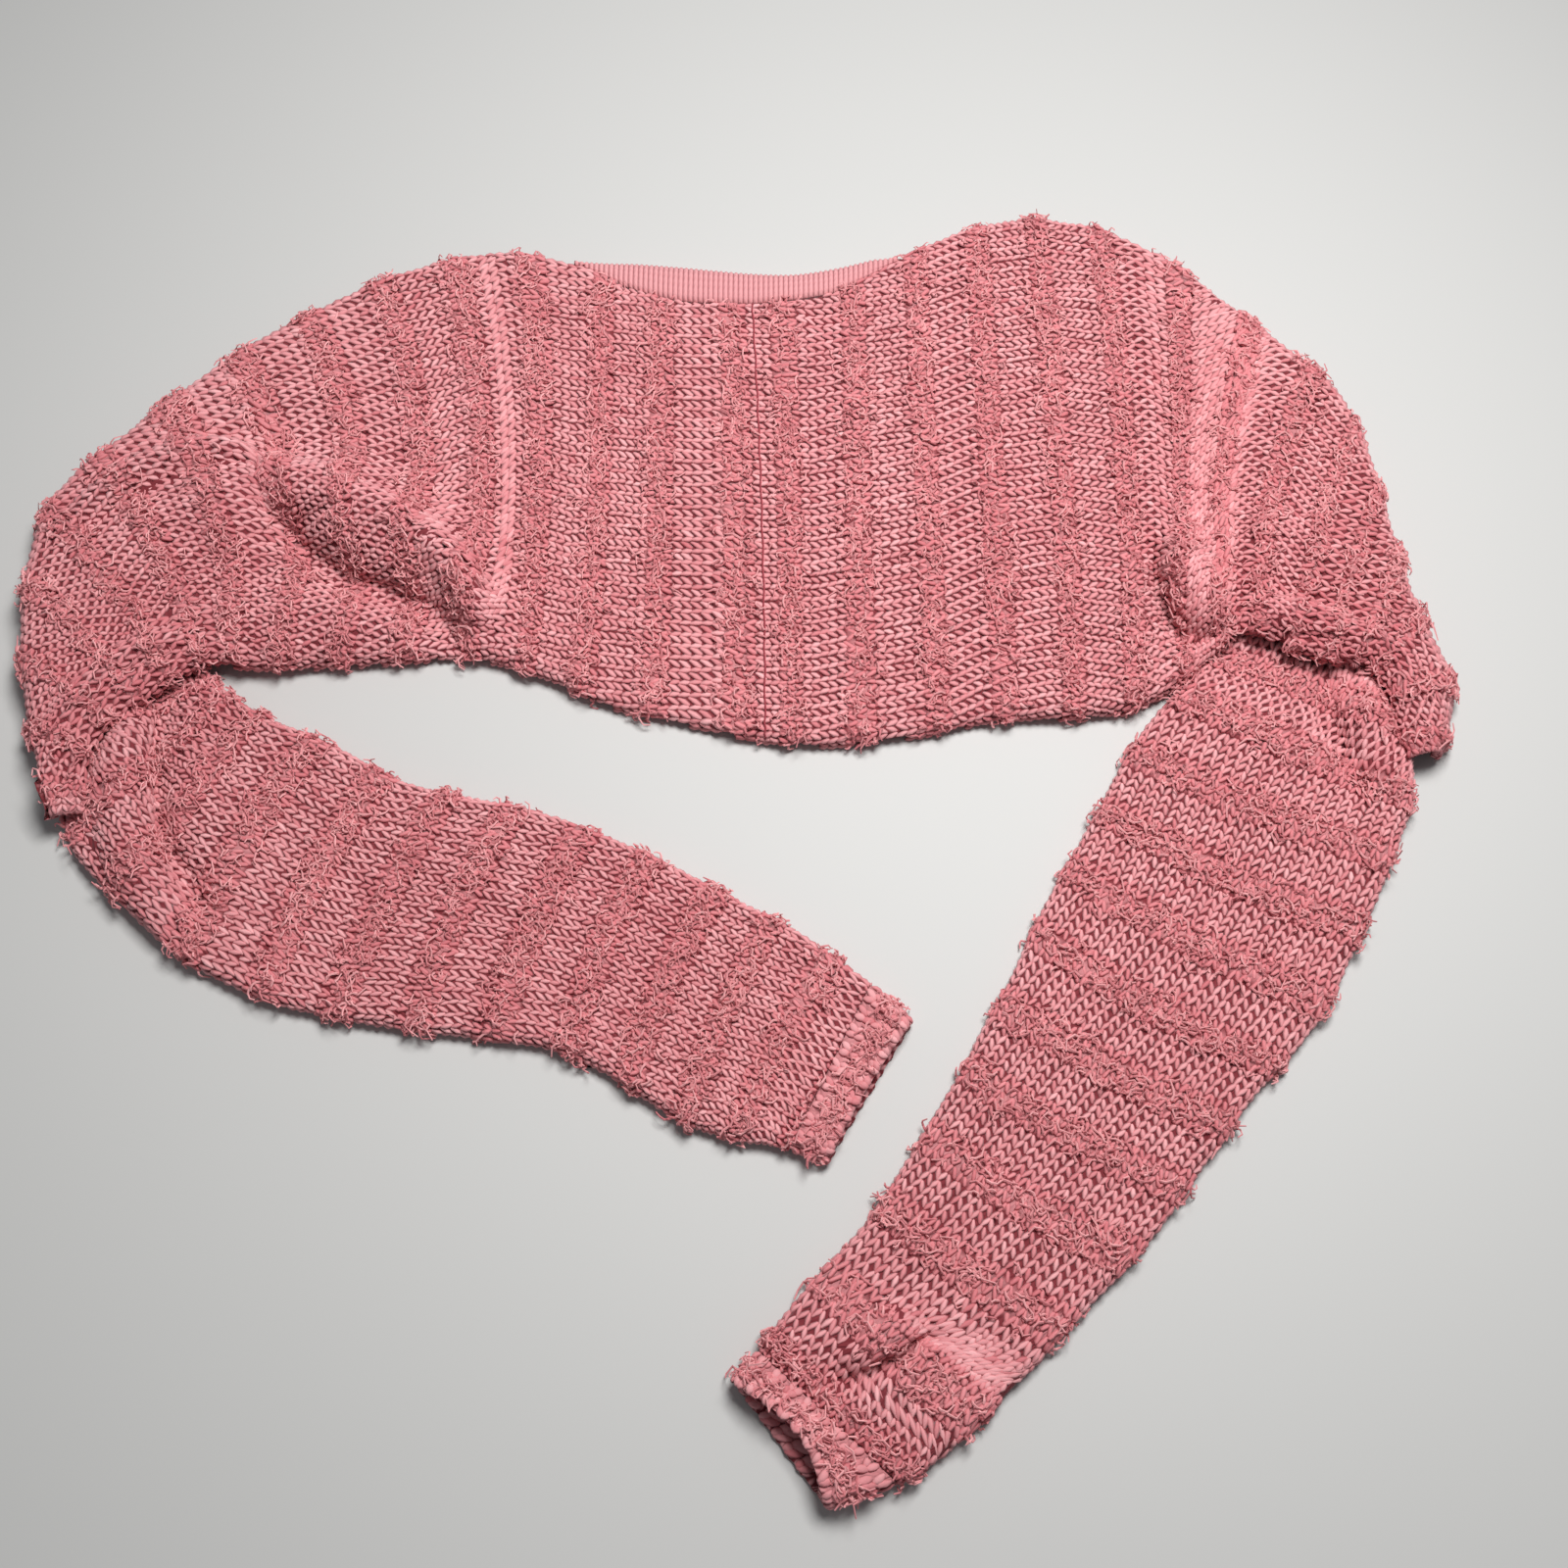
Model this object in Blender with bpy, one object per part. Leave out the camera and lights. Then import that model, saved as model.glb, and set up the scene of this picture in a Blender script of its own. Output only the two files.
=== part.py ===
"""Knitted shrug laid flat with its back up, both sleeves folded under at the elbow.

The shrug is one long knitted tube in two mirrored halves, joined down the centre back and
open at the top of the middle, where a fine ribbed band edges the opening. Every piece is a
closed wall of cloth: an outer face lofted through the sections of a short table, and an
inner face one wall thickness inside it.

Places are in millimetres on the table, x to the right and y away from the viewer, and are
moved at the end so that the middle of the underside is at the origin.
"""
import math

import bpy
import numpy as np

MM = 0.001

# Driving sizes in millimetres
LAY_CENTRE = (-24.55, 3.78)   # middle of the laid garment on the table
KNIT_WALL = 2.8               # one layer of the chunky knit
BAND_WALL = 2.2               # one layer of the fine ribbed band
SEAM_GAP = 0.3                # between pieces that are joined or lie on each other
RISE_STEPS = (1.5, 4.3, 12.0, 20.0)   # how far an edge takes to curve over, by its rise:
RUN_STEPS = (6.0, 4.3, 10.0, 15.0)    # a flat seam, a plain fold, a raised fold
FOLD_RIM = 5.0                # rim height of the upper layer at a plain fold
BAND_RIM = 7.6                # and at the neck band's seam
UNDER_RIM = 4.8               # rim height of the lower layer at a plain fold
UNDER_SEAM_RIM = 0.6          # and at its band's seam
BAND_START = -90.0            # the neck band's ends, across the garment
BAND_END = 44.0
UNDER_BAND_START = -70.0
UNDER_BAND_END = 8.0
UNDER_BAND_WIDTH = 9.0
LEFT_CUFF_GAPE = 1.5          # how far a cuff's upper lip draws back
RIGHT_CUFF_GAPE = 8.0
CROWN = 0.7                   # how much a layer swells between its edges
CUFF_RIBS = 20                # ribs all round a cuff
CUFF_RIB_HEIGHT = 1.3
BAND_RIB_PITCH = 2.9
BAND_RIB_HEIGHT = 0.7
CUFF_RIB_START = 0.3          # share of the rib height at the join

# Mesh fineness: sections along a piece, and points across a layer
BACK_SECTIONS = 32
BACK_POINTS = 25
ARM_SECTIONS = 24
ARM_POINTS = 11
UNDER_EVERY = 2               # the lower layer takes every second section of the upper one
UNDER_POINTS = 8
CUFF_SECTIONS = 3
BAND_POINTS = 5
UNDER_BAND_SECTIONS = 7
PROFILE_STEPS = 160
BEND_WEIGHT = 0.11            # share of a section's points given to each radian of bend
SHARP_ANGLE = math.radians(50)

PINK = (0.72, 0.24, 0.28, 1.0)
DEEP_PINK = (0.62, 0.18, 0.22, 1.0)
PALE_PINK = (0.80, 0.34, 0.37, 1.0)
CLOTH_ROUGHNESS = 0.9

# Columns of the tables of sections. Each row is one course of the knit: its low end, its
# high end, how far its middle bows, the height of the cloth and, for one laid layer, the
# heights of its two rims.
LOW_X, LOW_Y, HIGH_X, HIGH_Y, BOW, TOP, LOW_RIM, HIGH_RIM = range(8)

# Upper layer of the left half, from the centre-back seam to the tip of the elbow fold
LEFT_BACK = (
    (-8.4, 19.0, -15.8, 250.0, 1.6, 9.0, 4.5, 7.6),
    (-49.5, 29.0, -52.3, 252.0, 1, 9.1, 4.5, 7.6),
    (-79.0, 36.5, -79.0, 260.5, 2, 9.5, 4.7, 7.2),
    (-102.0, 47.0, -104.0, 273.5, 4, 10.2, 4.8, 5.6),
    (-124.0, 55.5, -139.5, 280.0, 8, 11.2, 4.8, 5.0),
    (-148.6, 60.0, -174.5, 273.4, 12, 12.0, 4.8, 5.0),
    (-178.4, 57.6, -209.5, 258.6, 16, 12.8, 4.8, 5.0),
    (-208.1, 55.6, -244.8, 236.4, 17, 13.6, 5.0, 5.0),
    (-236.0, 53.2, -279.4, 209.2, 14, 15.4, 7.2, 4.6),
    (-256.8, 54.8, -316.4, 172.0, 9, 18.0, 11.8, 3.0),
    (-271.1, 47.0, -343.6, 138.8, 5, 20.5, 13.6, 0.6),
    (-285.3, 34.0, -349.4, 93.0, 3, 22.5, 13.8, 0.4),
    (-298.5, 21.6, -342.0, 48.0, 0, 22.0, 13.8, 0.4),
    (-306.5, 4.5, -331.5, 9.5, 0, 20.0, 13.8, 0.4),
    (-303.5, -18.5, -318.5, -21.5, 0, 17.2, 13.8, 9.0),
)

# Upper layer of the right half, from the centre-back seam to the tip of the elbow fold
RIGHT_BACK = (
    (-8.4, 19.0, -15.8, 250.0, 1.6, 9.0, 4.5, 7.6),
    (24.8, 17.6, 24.7, 257.0, 0.5, 9.2, 4.6, 7.6),
    (63.4, 22.6, 59.4, 277.6, 0, 10.0, 4.8, 5.4),
    (94.1, 29.0, 92.0, 294.0, 0, 11.2, 4.8, 5.0),
    (128.8, 30.6, 125.0, 300.4, 2, 11.8, 4.8, 5.0),
    (156.6, 34.6, 157.6, 294.4, 4, 12.6, 4.8, 5.0),
    (178.8, 45.6, 192.0, 273.8, 0, 13.4, 6.0, 5.0),
    (192.3, 57.9, 219.4, 248.2, -6, 14.8, 10.0, 5.0),
    (204.2, 68.2, 242.2, 225.4, -8, 17.4, 13.9, 4.6),
    (217.3, 66.4, 264.4, 200.4, -6, 19.4, 14.2, 3.0),
    (232.6, 58.1, 275.2, 170.6, -4, 21.0, 14.2, 1.4),
    (246.3, 54.0, 280.0, 136.0, -2, 22.5, 14.2, 0.6),
    (258.0, 51.6, 285.0, 101.6, 0, 23.0, 14.4, 0.4),
    (265.2, 46.4, 292.0, 72.0, 0, 22.5, 14.4, 0.4),
    (269.5, 38.0, 301.0, 45.4, 0, 21.5, 14.4, 0.4),
    (272.0, 22.0, 296.4, 22.0, 0, 19.5, 14.4, 0.4),
    (274.5, 7.0, 289.5, 9.5, 0, 17.4, 14.2, 6.0),
)

# How far along the upper layers' tables the hidden lower layers reach
LEFT_UNDER_END = 8.4
RIGHT_UNDER_END = 6.5

# Forearm tubes, from the hidden end under the elbow to the cuff; the low end of a row is
# the arm's inner edge
LEFT_ARM = (
    (-250.0, 63.0, -303.0, 166.0, 0, 10.0),
    (-261.0, 60.0, -330.0, 124.0, 0, 11.4),
    (-263.0, 56.0, -337.0, 78.0, 0, 12.2),
    (-260.0, 49.5, -326.0, 20.0, 0, 12.6),
    (-252.5, 42.5, -312.0, -27.5, 0, 12.8),
    (-242.5, 34.5, -289.0, -52.0, 2, 12.4),
    (-227.5, 26.4, -258.4, -78.2, 3, 11.4),
    (-197.5, 13.2, -223.4, -96.3, 4, 10.4),
    (-168.0, -2.0, -193.6, -104.6, 4, 9.4),
    (-138.0, -9.2, -159.0, -110.4, 4, 9.4),
    (-108.4, -15.8, -127.4, -114.0, 4, 9.4),
    (-78.4, -26.6, -94.8, -119.4, 4, 9.4),
    (-48.4, -40.8, -68.0, -132.0, 4, 9.4),
    (-18.4, -56.8, -43.0, -148.0, 3, 9.4),
    (6.4, -70.6, -20.0, -155.8, 2, 9.4),
    (36.4, -92.4, 2.4, -159.6, 0, 9.4),
)
RIGHT_ARM = (
    (192.0, 68.0, 214.0, 244.0, 0, 10.0),
    (201.0, 76.0, 252.0, 196.0, 0, 11.4),
    (206.0, 78.0, 269.0, 134.0, 0, 12.4),
    (204.0, 72.0, 275.0, 78.0, 0, 13.0),
    (193.0, 58.0, 276.0, 34.0, 0, 13.2),
    (183.0, 45.0, 277.5, 6.0, 0, 13.2),
    (165.8, 28.2, 273.6, -14.6, 2, 12.6),
    (151.8, 8.5, 265.2, -32.8, 3, 11.6),
    (140.8, -11.3, 254.0, -55.6, 4, 10.6),
    (129.0, -31.0, 240.2, -80.4, 4, 9.4),
    (117.0, -50.8, 228.0, -101.4, 4, 9.4),
    (106.0, -70.6, 210.8, -121.6, 4, 9.4),
    (96.2, -90.6, 195.4, -136.2, 4, 9.4),
    (84.2, -110.4, 179.4, -155.0, 4, 9.4),
    (73.4, -130.2, 165.6, -172.2, 4, 9.4),
    (60.6, -150.0, 149.8, -191.6, 4, 9.4),
    (47.6, -169.8, 129.8, -211.4, 4, 10.0),
    (33.8, -189.7, 108.4, -231.6, 3, 10.4),
    (14.6, -209.4, 84.8, -254.8, 2, 11.0),
    (-3.0, -229.6, 58.6, -276.4, 1, 11.8),
    (-9.0, -238.4, 43.0, -284.6, 0, 12.4),
)

# Cuff tubes; the rows run from the join with the forearm to the open end
LEFT_CUFF = (
    (36.4, -92.4, 2.4, -159.6, 0, 9.4),
    (44.4, -100.4, 10.6, -162.4, 0, 9.4),
    (53.0, -109.4, 18.6, -163.8, 0, 9.5),
)
RIGHT_CUFF = (
    (-9.0, -238.4, 43.0, -284.6, 0, 12.4),
    (-14.2, -244.2, 29.0, -288.6, 0, 14.6),
    (-19.0, -249.6, 14.6, -291.8, 0, 16.8),
)

# Outer edge of the neck band from left to right, its height and its outer rim's height
EDGE_X, EDGE_Y, EDGE_TOP, EDGE_RIM = range(4)
NECK_EDGE = (
    (-96.0, 275.2, 8.9, 4.4),
    (-79.5, 276.2, 9.3, 1.6),
    (-59.0, 275.0, 9.4, 0.3),
    (-38.0, 272.8, 9.4, 0.3),
    (-16.5, 270.8, 9.4, 0.3),
    (5.0, 270.4, 9.4, 0.3),
    (26.0, 273.2, 9.3, 1.6),
    (45.0, 277.6, 9.0, 4.4),
)

# Columns of the tables of folds. Each row is a place on the crest line, its height (negative
# for a furrow), the half width to the right of the line and to its left, and how far the
# crest leans to the right.
FOLD_X, FOLD_Y, HEIGHT, RIGHT_HALF, LEFT_HALF, LEAN = range(6)
LEFT_BACK_FOLDS = {
    "main ridge": (
        (-312, 84, 1.0, 24, 22, 0),
        (-306, 100, 3.5, 30, 24, 0),
        (-288, 127, 7.0, 36, 24, 2),
        (-268, 139, 11.0, 42, 24, 3),
        (-248, 143, 14.0, 40, 25, 5),
        (-229, 145, 17.0, 30, 27, 8),
        (-211, 143, 18.0, 28, 28, 9),
        (-192, 134, 17.5, 27, 29, 9),
        (-173, 121, 16.5, 24, 29, 8),
        (-158, 107, 15.0, 20, 27, 7),
        (-147, 91, 12.0, 17, 25, 5),
        (-141, 72, 7.0, 13, 20, 2),
        (-139, 57, 2.0, 10, 16, 0),
    ),
    "valley under the ridge": (
        (-243, 134, -1.0, 9, 9, 0),
        (-225, 124, -3.5, 9, 8, 0),
        (-216, 108, -4.5, 9, 8, 0),
        (-202, 97, -4.8, 9, 8, 0),
        (-184, 92, -4.8, 9, 8, 0),
        (-167, 86, -4.8, 9, 8, 0),
        (-154, 72, -4.2, 9, 8, 0),
        (-147, 60, -2.0, 8, 8, 0),
    ),
    "swelling of the underarm": (
        (-262, 78, 1.5, 18, 20, 0),
        (-228, 76, 3.0, 18, 20, 0),
        (-196, 74, 3.0, 16, 14, 0),
        (-166, 68, 1.5, 12, 10, 0),
    ),
    "soft fold beside the ridge": (
        (-300, 158, 1.0, 16, 16, 0),
        (-262, 184, 2.5, 20, 20, 0),
        (-222, 186, 2.5, 20, 20, 0),
        (-184, 170, 1.0, 18, 18, 0),
    ),
}
RIGHT_BACK_FOLDS = {
    "furrow": (
        (181, 112, -1.0, 10, 11, 0),
        (179, 98, -4.6, 11, 12, 0),
        (180, 86, -5.6, 12, 12, 0),
        (183, 77, -4.0, 12, 11, 0),
        (186, 70, -1.2, 11, 10, 0),
    ),
    "knob": (
        (172, 108, 3.0, 12, 12, 0),
        (182, 114, 5.0, 12, 12, 0),
        (191, 108, 4.0, 12, 12, 0),
    ),
    "ridge right of the furrow": (
        (197, 112, 3.0, 14, 20, 0),
        (199, 100, 4.0, 14, 22, 0),
        (204, 92, 2.0, 14, 20, 0),
    ),
    "ridge left of the furrow": (
        (166, 64, 1.5, 14, 12, 0),
        (166, 84, 3.0, 16, 10, 0),
        (167, 102, 2.0, 14, 10, 0),
    ),
    "shoulder swelling": (
        (204, 112, 2.0, 22, 26, 0),
        (236, 104, 4.0, 24, 28, 0),
        (270, 98, 2.5, 20, 26, 0),
    ),
    "soft shoulder fold": (
        (150, 252, 1.0, 18, 18, 0),
        (186, 222, 2.4, 20, 20, 0),
        (216, 186, 1.6, 20, 20, 0),
        (232, 160, 0.6, 18, 18, 0),
    ),
}
LEFT_ARM_FOLDS = {
    "elbow crease": (
        (-276, 40, -2.0, 8, 7, 0),
        (-281, 26, -4.4, 9, 7, 0),
        (-281, 10, -4.6, 10, 7, 0),
        (-279, -6, -4.4, 10, 7, 0),
        (-273, -26, -4.0, 10, 7, 0),
        (-262, -41, -2.8, 10, 7, 0),
        (-246, -57, -1.2, 9, 7, 0),
    ),
    "swelling by the outer edge": (
        (-292, -24, 1.2, 9, 9, 0),
        (-276, -44, 1.8, 10, 10, 0),
        (-252, -66, 1.4, 10, 12, 0),
        (-218, -82, 0.6, 10, 12, 0),
    ),
}
RIGHT_ARM_FOLDS = {
    "elbow furrow": (
        (244, 56, -4.4, 8, 7, 0),
        (243, 42, -5.6, 8, 7, 0),
        (244, 28, -5.2, 8, 7, 0),
        (249, 12, -3.2, 8, 7, 0),
        (253, -6, -1.2, 7, 7, 0),
    ),
    "ridge outside the furrow": (
        (262, 24, 1.0, 9, 9, 0),
        (261, 8, 2.4, 9, 9, 0),
        (260, -8, 2.0, 9, 9, 0),
        (252, -26, 0.6, 9, 9, 0),
    ),
    "cuff slit": (
        (54, -226, -1.0, 7, 7, 0),
        (46, -232, -3.6, 7, 7, 0),
        (36, -236, -3.8, 7, 7, 0),
        (26, -242, -1.6, 7, 7, 0),
    ),
    "bulge above the slit": (
        (46, -214, 1.0, 10, 10, 0),
        (28, -226, 2.4, 11, 11, 0),
        (12, -236, 2.0, 11, 11, 0),
    ),
    "bulge below the slit": (
        (56, -242, 1.4, 10, 10, 0),
        (42, -252, 2.4, 10, 10, 0),
        (24, -262, 1.4, 10, 10, 0),
    ),
}


def clear_scene():
    for old in list(bpy.data.objects):
        bpy.data.objects.remove(old, do_unlink=True)


def smooth_row(table, place):
    """Row of a table at a fractional place, on a smooth curve through the rows."""
    rows = np.array(table, dtype=float)
    last = len(rows) - 1
    start = int(min(max(math.floor(place), 0), last - 1))
    t = place - start
    before = rows[start - 1] if start > 0 else 2 * rows[0] - rows[1]
    here = rows[start]
    ahead = rows[start + 1]
    after = rows[start + 2] if start + 2 <= last else 2 * rows[last] - rows[last - 1]
    return 0.5 * (
        2 * here
        + (ahead - before) * t
        + (2 * before - 5 * here + 4 * ahead - after) * t ** 2
        + (3 * here - before - 3 * ahead + after) * t ** 3
    )


def even_places(table, count):
    """Places in a table whose sections are evenly far apart along the middle of the cloth."""
    fine = np.linspace(0, len(table) - 1, 20 * len(table))
    rows = np.array([smooth_row(table, place) for place in fine])
    middle = (rows[:, (LOW_X, LOW_Y)] + rows[:, (HIGH_X, HIGH_Y)]) / 2
    steps = np.hypot(*np.diff(middle, axis=0).T)
    travelled = np.concatenate([[0], np.cumsum(steps)])
    return np.interp(np.linspace(0, travelled[-1], count), travelled, fine)


def edge_curve(rise, width, way):
    """Run of an edge, the angle it turns, and a function of its distance across and drop.

    The edge curves from its rim, through a rise, into the flat cloth. It turns a full quarter
    at a fold and less at a seam."""
    run = min(np.interp(abs(rise), RISE_STEPS, RUN_STEPS), 0.46 * width)
    turn = min(2 * math.atan2(abs(rise), run), math.pi / 2)
    arc = 0.79 * (run + abs(rise))
    angle = turn * (1 - np.clip(way / arc, 0, 1))
    across = run * (1 - np.sin(angle) / math.sin(turn))
    drop = rise * (1 - np.cos(angle)) / (1 - math.cos(turn))
    return run, turn, arc, across, drop


def across_profile(width, low_rim, level, high_rim):
    """Distances across a section and heights there, and the turn at each edge."""
    low_run, low_turn, low_arc = edge_curve(level - low_rim, width, 0)[0:3]
    high_run, high_turn, high_arc = edge_curve(level - high_rim, width, 0)[0:3]
    flat = width - low_run - high_run
    way = np.linspace(0, low_arc + flat + high_arc, PROFILE_STEPS)
    low_across, low_drop = edge_curve(level - low_rim, width, way)[3:5]
    high_across, high_drop = edge_curve(level - high_rim, width, way[-1] - way)[3:5]
    distance = low_across + np.clip(way - low_arc, 0, flat) + high_run - high_across
    inside = np.clip(np.minimum(way / low_arc, (way[-1] - way) / high_arc), 0, 1)
    return distance, level - low_drop - high_drop, (low_turn, high_turn), inside


def fold_move(points, folds, share_inside):
    """Points of a section raised and leant by every fold near them, but not at the rims."""
    moved = points.copy()
    for rows in folds.values():
        places = np.linspace(0, len(rows) - 1, 12 * len(rows))
        crest = np.array([smooth_row(rows, place) for place in places])
        line = crest[:, (FOLD_X, FOLD_Y)]
        direction = np.gradient(line, axis=0)
        direction /= np.linalg.norm(direction, axis=1)[:, None]
        right = np.stack([direction[:, 1], -direction[:, 0]], axis=1)
        offset = points[:, None, 0:2] - line[None, :, :]
        nearest = np.argmin(np.linalg.norm(offset, axis=2), axis=1)
        picked = offset[np.arange(len(points)), nearest]
        side = np.sum(picked * right[nearest], axis=1)
        half = np.where(side > 0, crest[nearest, RIGHT_HALF], crest[nearest, LEFT_HALF])
        reach = np.clip(np.linalg.norm(picked, axis=1) / half, 0, 1)
        share = (0.5 + 0.5 * np.cos(math.pi * reach)) * share_inside
        moved[:, 2] += crest[nearest, HEIGHT] * share
        moved[:, 0:2] += (crest[nearest, LEAN] * share)[:, None] * right[nearest]
    return moved


def spread(points, count):
    """Resample a section so that its points crowd a little where the cloth bends."""
    step = np.linalg.norm(np.diff(points, axis=0), axis=1)
    heading = np.diff(points, axis=0) / np.maximum(step, 1e-9)[:, None]
    bend = np.zeros(len(step))
    bend[1:] = np.linalg.norm(np.diff(heading, axis=0), axis=1)
    bend = np.convolve(bend, np.ones(7) / 7, mode="same")
    travelled = np.concatenate([[0], np.cumsum(step / step.sum() + bend * BEND_WEIGHT)])
    wanted = np.linspace(0, travelled[-1], count)
    return np.stack([np.interp(wanted, travelled, points[:, axis]) for axis in range(3)], axis=1)


def section_frame(row):
    """Ways along a section, from its low to its high end, and along the arm, and its width."""
    across = row[[HIGH_X, HIGH_Y]] - row[[LOW_X, LOW_Y]]
    width = np.linalg.norm(across)
    across = across / width
    return across, np.array([across[1], -across[0]]), width


def section_line(row, distance, height):
    """Points of one section in space, from its plan ends, its bow and its profile."""
    across, arm, width = section_frame(row)
    share = distance / width
    bow = row[BOW] * 4 * share * (1 - share)
    plan = row[[LOW_X, LOW_Y]] + np.outer(distance, across) + np.outer(bow, arm)
    return np.column_stack([plan, height])


def grid_normals(grid, closed):
    """Unit normals of a grid of points."""
    if closed:
        across = np.roll(grid, -1, axis=1) - np.roll(grid, 1, axis=1)
    else:
        across = np.gradient(grid, axis=1)
    normal = np.cross(np.gradient(grid, axis=0), across)
    return normal / np.linalg.norm(normal, axis=2)[:, :, None]


def square_ends(normal, rows):
    """Normals of the first and last section turned into the section's own plane."""
    for end, row in ((0, rows[0]), (-1, rows[-1])):
        arm = np.append(section_frame(row)[1], 0)
        normal[end] -= np.outer(normal[end] @ arm, arm)
        normal[end] /= np.linalg.norm(normal[end], axis=1)[:, None]
    return normal


def laid_layer(rows, folds, points, crown):
    """Outer points and outward normals of one laid layer, a row of the grid for each section."""
    grid = []
    rims = []
    for row in rows:
        across, arm, width = section_frame(row)
        level = row[TOP]
        distance, height, turns, inside = across_profile(width, row[LOW_RIM], level, row[HIGH_RIM])
        height = height + crown * np.sin(math.pi * distance / width) ** 2
        grid.append(spread(fold_move(section_line(row, distance, height), folds, inside), points))
        way = 1 if level > row[LOW_RIM] else -1
        low = np.append(-across * math.sin(turns[0]), way * math.cos(turns[0]))
        high = np.append(across * math.sin(turns[1]), way * math.cos(turns[1]))
        rims.append((low, high))
    grid = np.array(grid)
    normal = grid_normals(grid, False)
    if np.sign(normal[:, points // 2, 2].mean()) != way:
        normal = -normal
    rims = np.array(rims)
    normal[:, 0] = rims[:, 0]
    normal[:, -1] = rims[:, 1]
    return grid, square_ends(normal, rows)


def tube(rows, folds, points):
    """Outer points and normals of a flattened tube: over its top, then back underneath."""
    grid = []
    for row in rows:
        width = section_frame(row)[2]
        top = row[TOP]
        distance, height, turns, inside = across_profile(width, top / 2, top, top / 2)
        over = spread(fold_move(section_line(row, distance, height), folds, inside), points)
        distance, height, turns, inside = across_profile(width, top / 2, 0, top / 2)
        under = spread(section_line(row, distance, height), points)
        grid.append(np.vstack([over, under[-2:0:-1]]))
    grid = np.array(grid)
    normal = grid_normals(grid, True)
    if normal[:, points // 2, 2].mean() < 0:
        normal = -normal
    return grid, square_ends(normal, rows)


def cloth_material(name, colour):
    material = bpy.data.materials.new(name + "_knit")
    material.use_nodes = True
    shader = material.node_tree.nodes["Principled BSDF"]
    shader.inputs["Base Color"].default_value = colour
    shader.inputs["Roughness"].default_value = CLOTH_ROUGHNESS
    shader.inputs["Metallic"].default_value = 0.0
    material.diffuse_color = colour
    return material


def build_wall(name, outer, inner, closed, colour):
    """Closed wall of cloth between an outer and an inner grid of points."""
    facing = np.sum(grid_normals(outer, closed) * (outer - inner), axis=2).mean()
    if facing < 0:
        outer = outer[:, ::-1]
        inner = inner[:, ::-1]
    rows, columns = outer.shape[0:2]
    vertices = np.vstack([outer.reshape(-1, 3), inner.reshape(-1, 3)])
    vertices = (vertices - np.array([LAY_CENTRE[0], LAY_CENTRE[1], 0])) * MM
    inside = rows * columns

    def index(row, column):
        return row * columns + column % columns

    faces = []
    spans = columns if closed else columns - 1
    for row in range(rows - 1):
        for column in range(spans):
            a = index(row, column)
            b = index(row + 1, column)
            c = index(row + 1, column + 1)
            d = index(row, column + 1)
            faces.append((a, b, c, d))
            faces.append((inside + d, inside + c, inside + b, inside + a))
    for column in range(spans):
        a = index(0, column)
        b = index(0, column + 1)
        faces.append((a, b, inside + b, inside + a))
        a = index(rows - 1, column)
        b = index(rows - 1, column + 1)
        faces.append((b, a, inside + a, inside + b))
    if not closed:
        for row in range(rows - 1):
            a = index(row, 0)
            b = index(row + 1, 0)
            faces.append((b, a, inside + a, inside + b))
            a = index(row, columns - 1)
            b = index(row + 1, columns - 1)
            faces.append((a, b, inside + b, inside + a))
    mesh = bpy.data.meshes.new(name)
    mesh.from_pydata([tuple(vertex) for vertex in vertices], [], faces)
    mesh.shade_smooth()
    mesh.set_sharp_from_angle(angle=SHARP_ANGLE)
    mesh.materials.append(cloth_material(name, colour))
    piece = bpy.data.objects.new(name, mesh)
    PARTS.objects.link(piece)


def back_rows(table):
    places = even_places(table, BACK_SECTIONS)
    rows = np.array([smooth_row(table, place) for place in places])
    rows[:, LOW_RIM:] = np.maximum(rows[:, LOW_RIM:], SEAM_GAP)
    return places, rows


def make_back(name, table, folds, side):
    """Upper layer of one half; side is -1 on the left and 1 on the right."""
    rows = back_rows(table)[1]
    outer, normal = laid_layer(rows, folds, BACK_POINTS, CROWN)
    outer[:, (0, -1), 2] += SEAM_GAP / 2
    outer[0, :, 0] += side * SEAM_GAP / 2
    build_wall(name, outer, outer - KNIT_WALL * normal, False, PINK)
    return outer[:, -1]


def make_under(name, table, end, side):
    """Lower layer of one half, on the table under the upper one as far as a place in its table."""
    places, rows = back_rows(table)
    rows = rows[places <= end][::UNDER_EVERY]
    rows[:, TOP] = 0
    rows[:, LOW_RIM] = np.minimum(rows[:, LOW_RIM], UNDER_RIM)
    seam_share = np.clip((rows[:, HIGH_RIM] - FOLD_RIM) / (BAND_RIM - FOLD_RIM), 0, 1)
    seam_rim = UNDER_RIM + (UNDER_SEAM_RIM - UNDER_RIM) * seam_share
    rows[:, HIGH_RIM] = np.minimum(rows[:, HIGH_RIM], seam_rim)
    outer, normal = laid_layer(rows, {}, UNDER_POINTS, 0)
    outer[:, (0, -1), 2] -= SEAM_GAP / 2
    outer[0, :, 0] += side * SEAM_GAP / 2
    build_wall(name, outer, outer - KNIT_WALL * normal, False, DEEP_PINK)
    return outer[:, -1]


def make_forearm(name, table, folds):
    rows = np.array([smooth_row(table, place) for place in even_places(table, ARM_SECTIONS)])
    outer, normal = tube(rows, folds, ARM_POINTS)
    build_wall(name, outer, outer - KNIT_WALL * normal, True, PINK)


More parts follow.
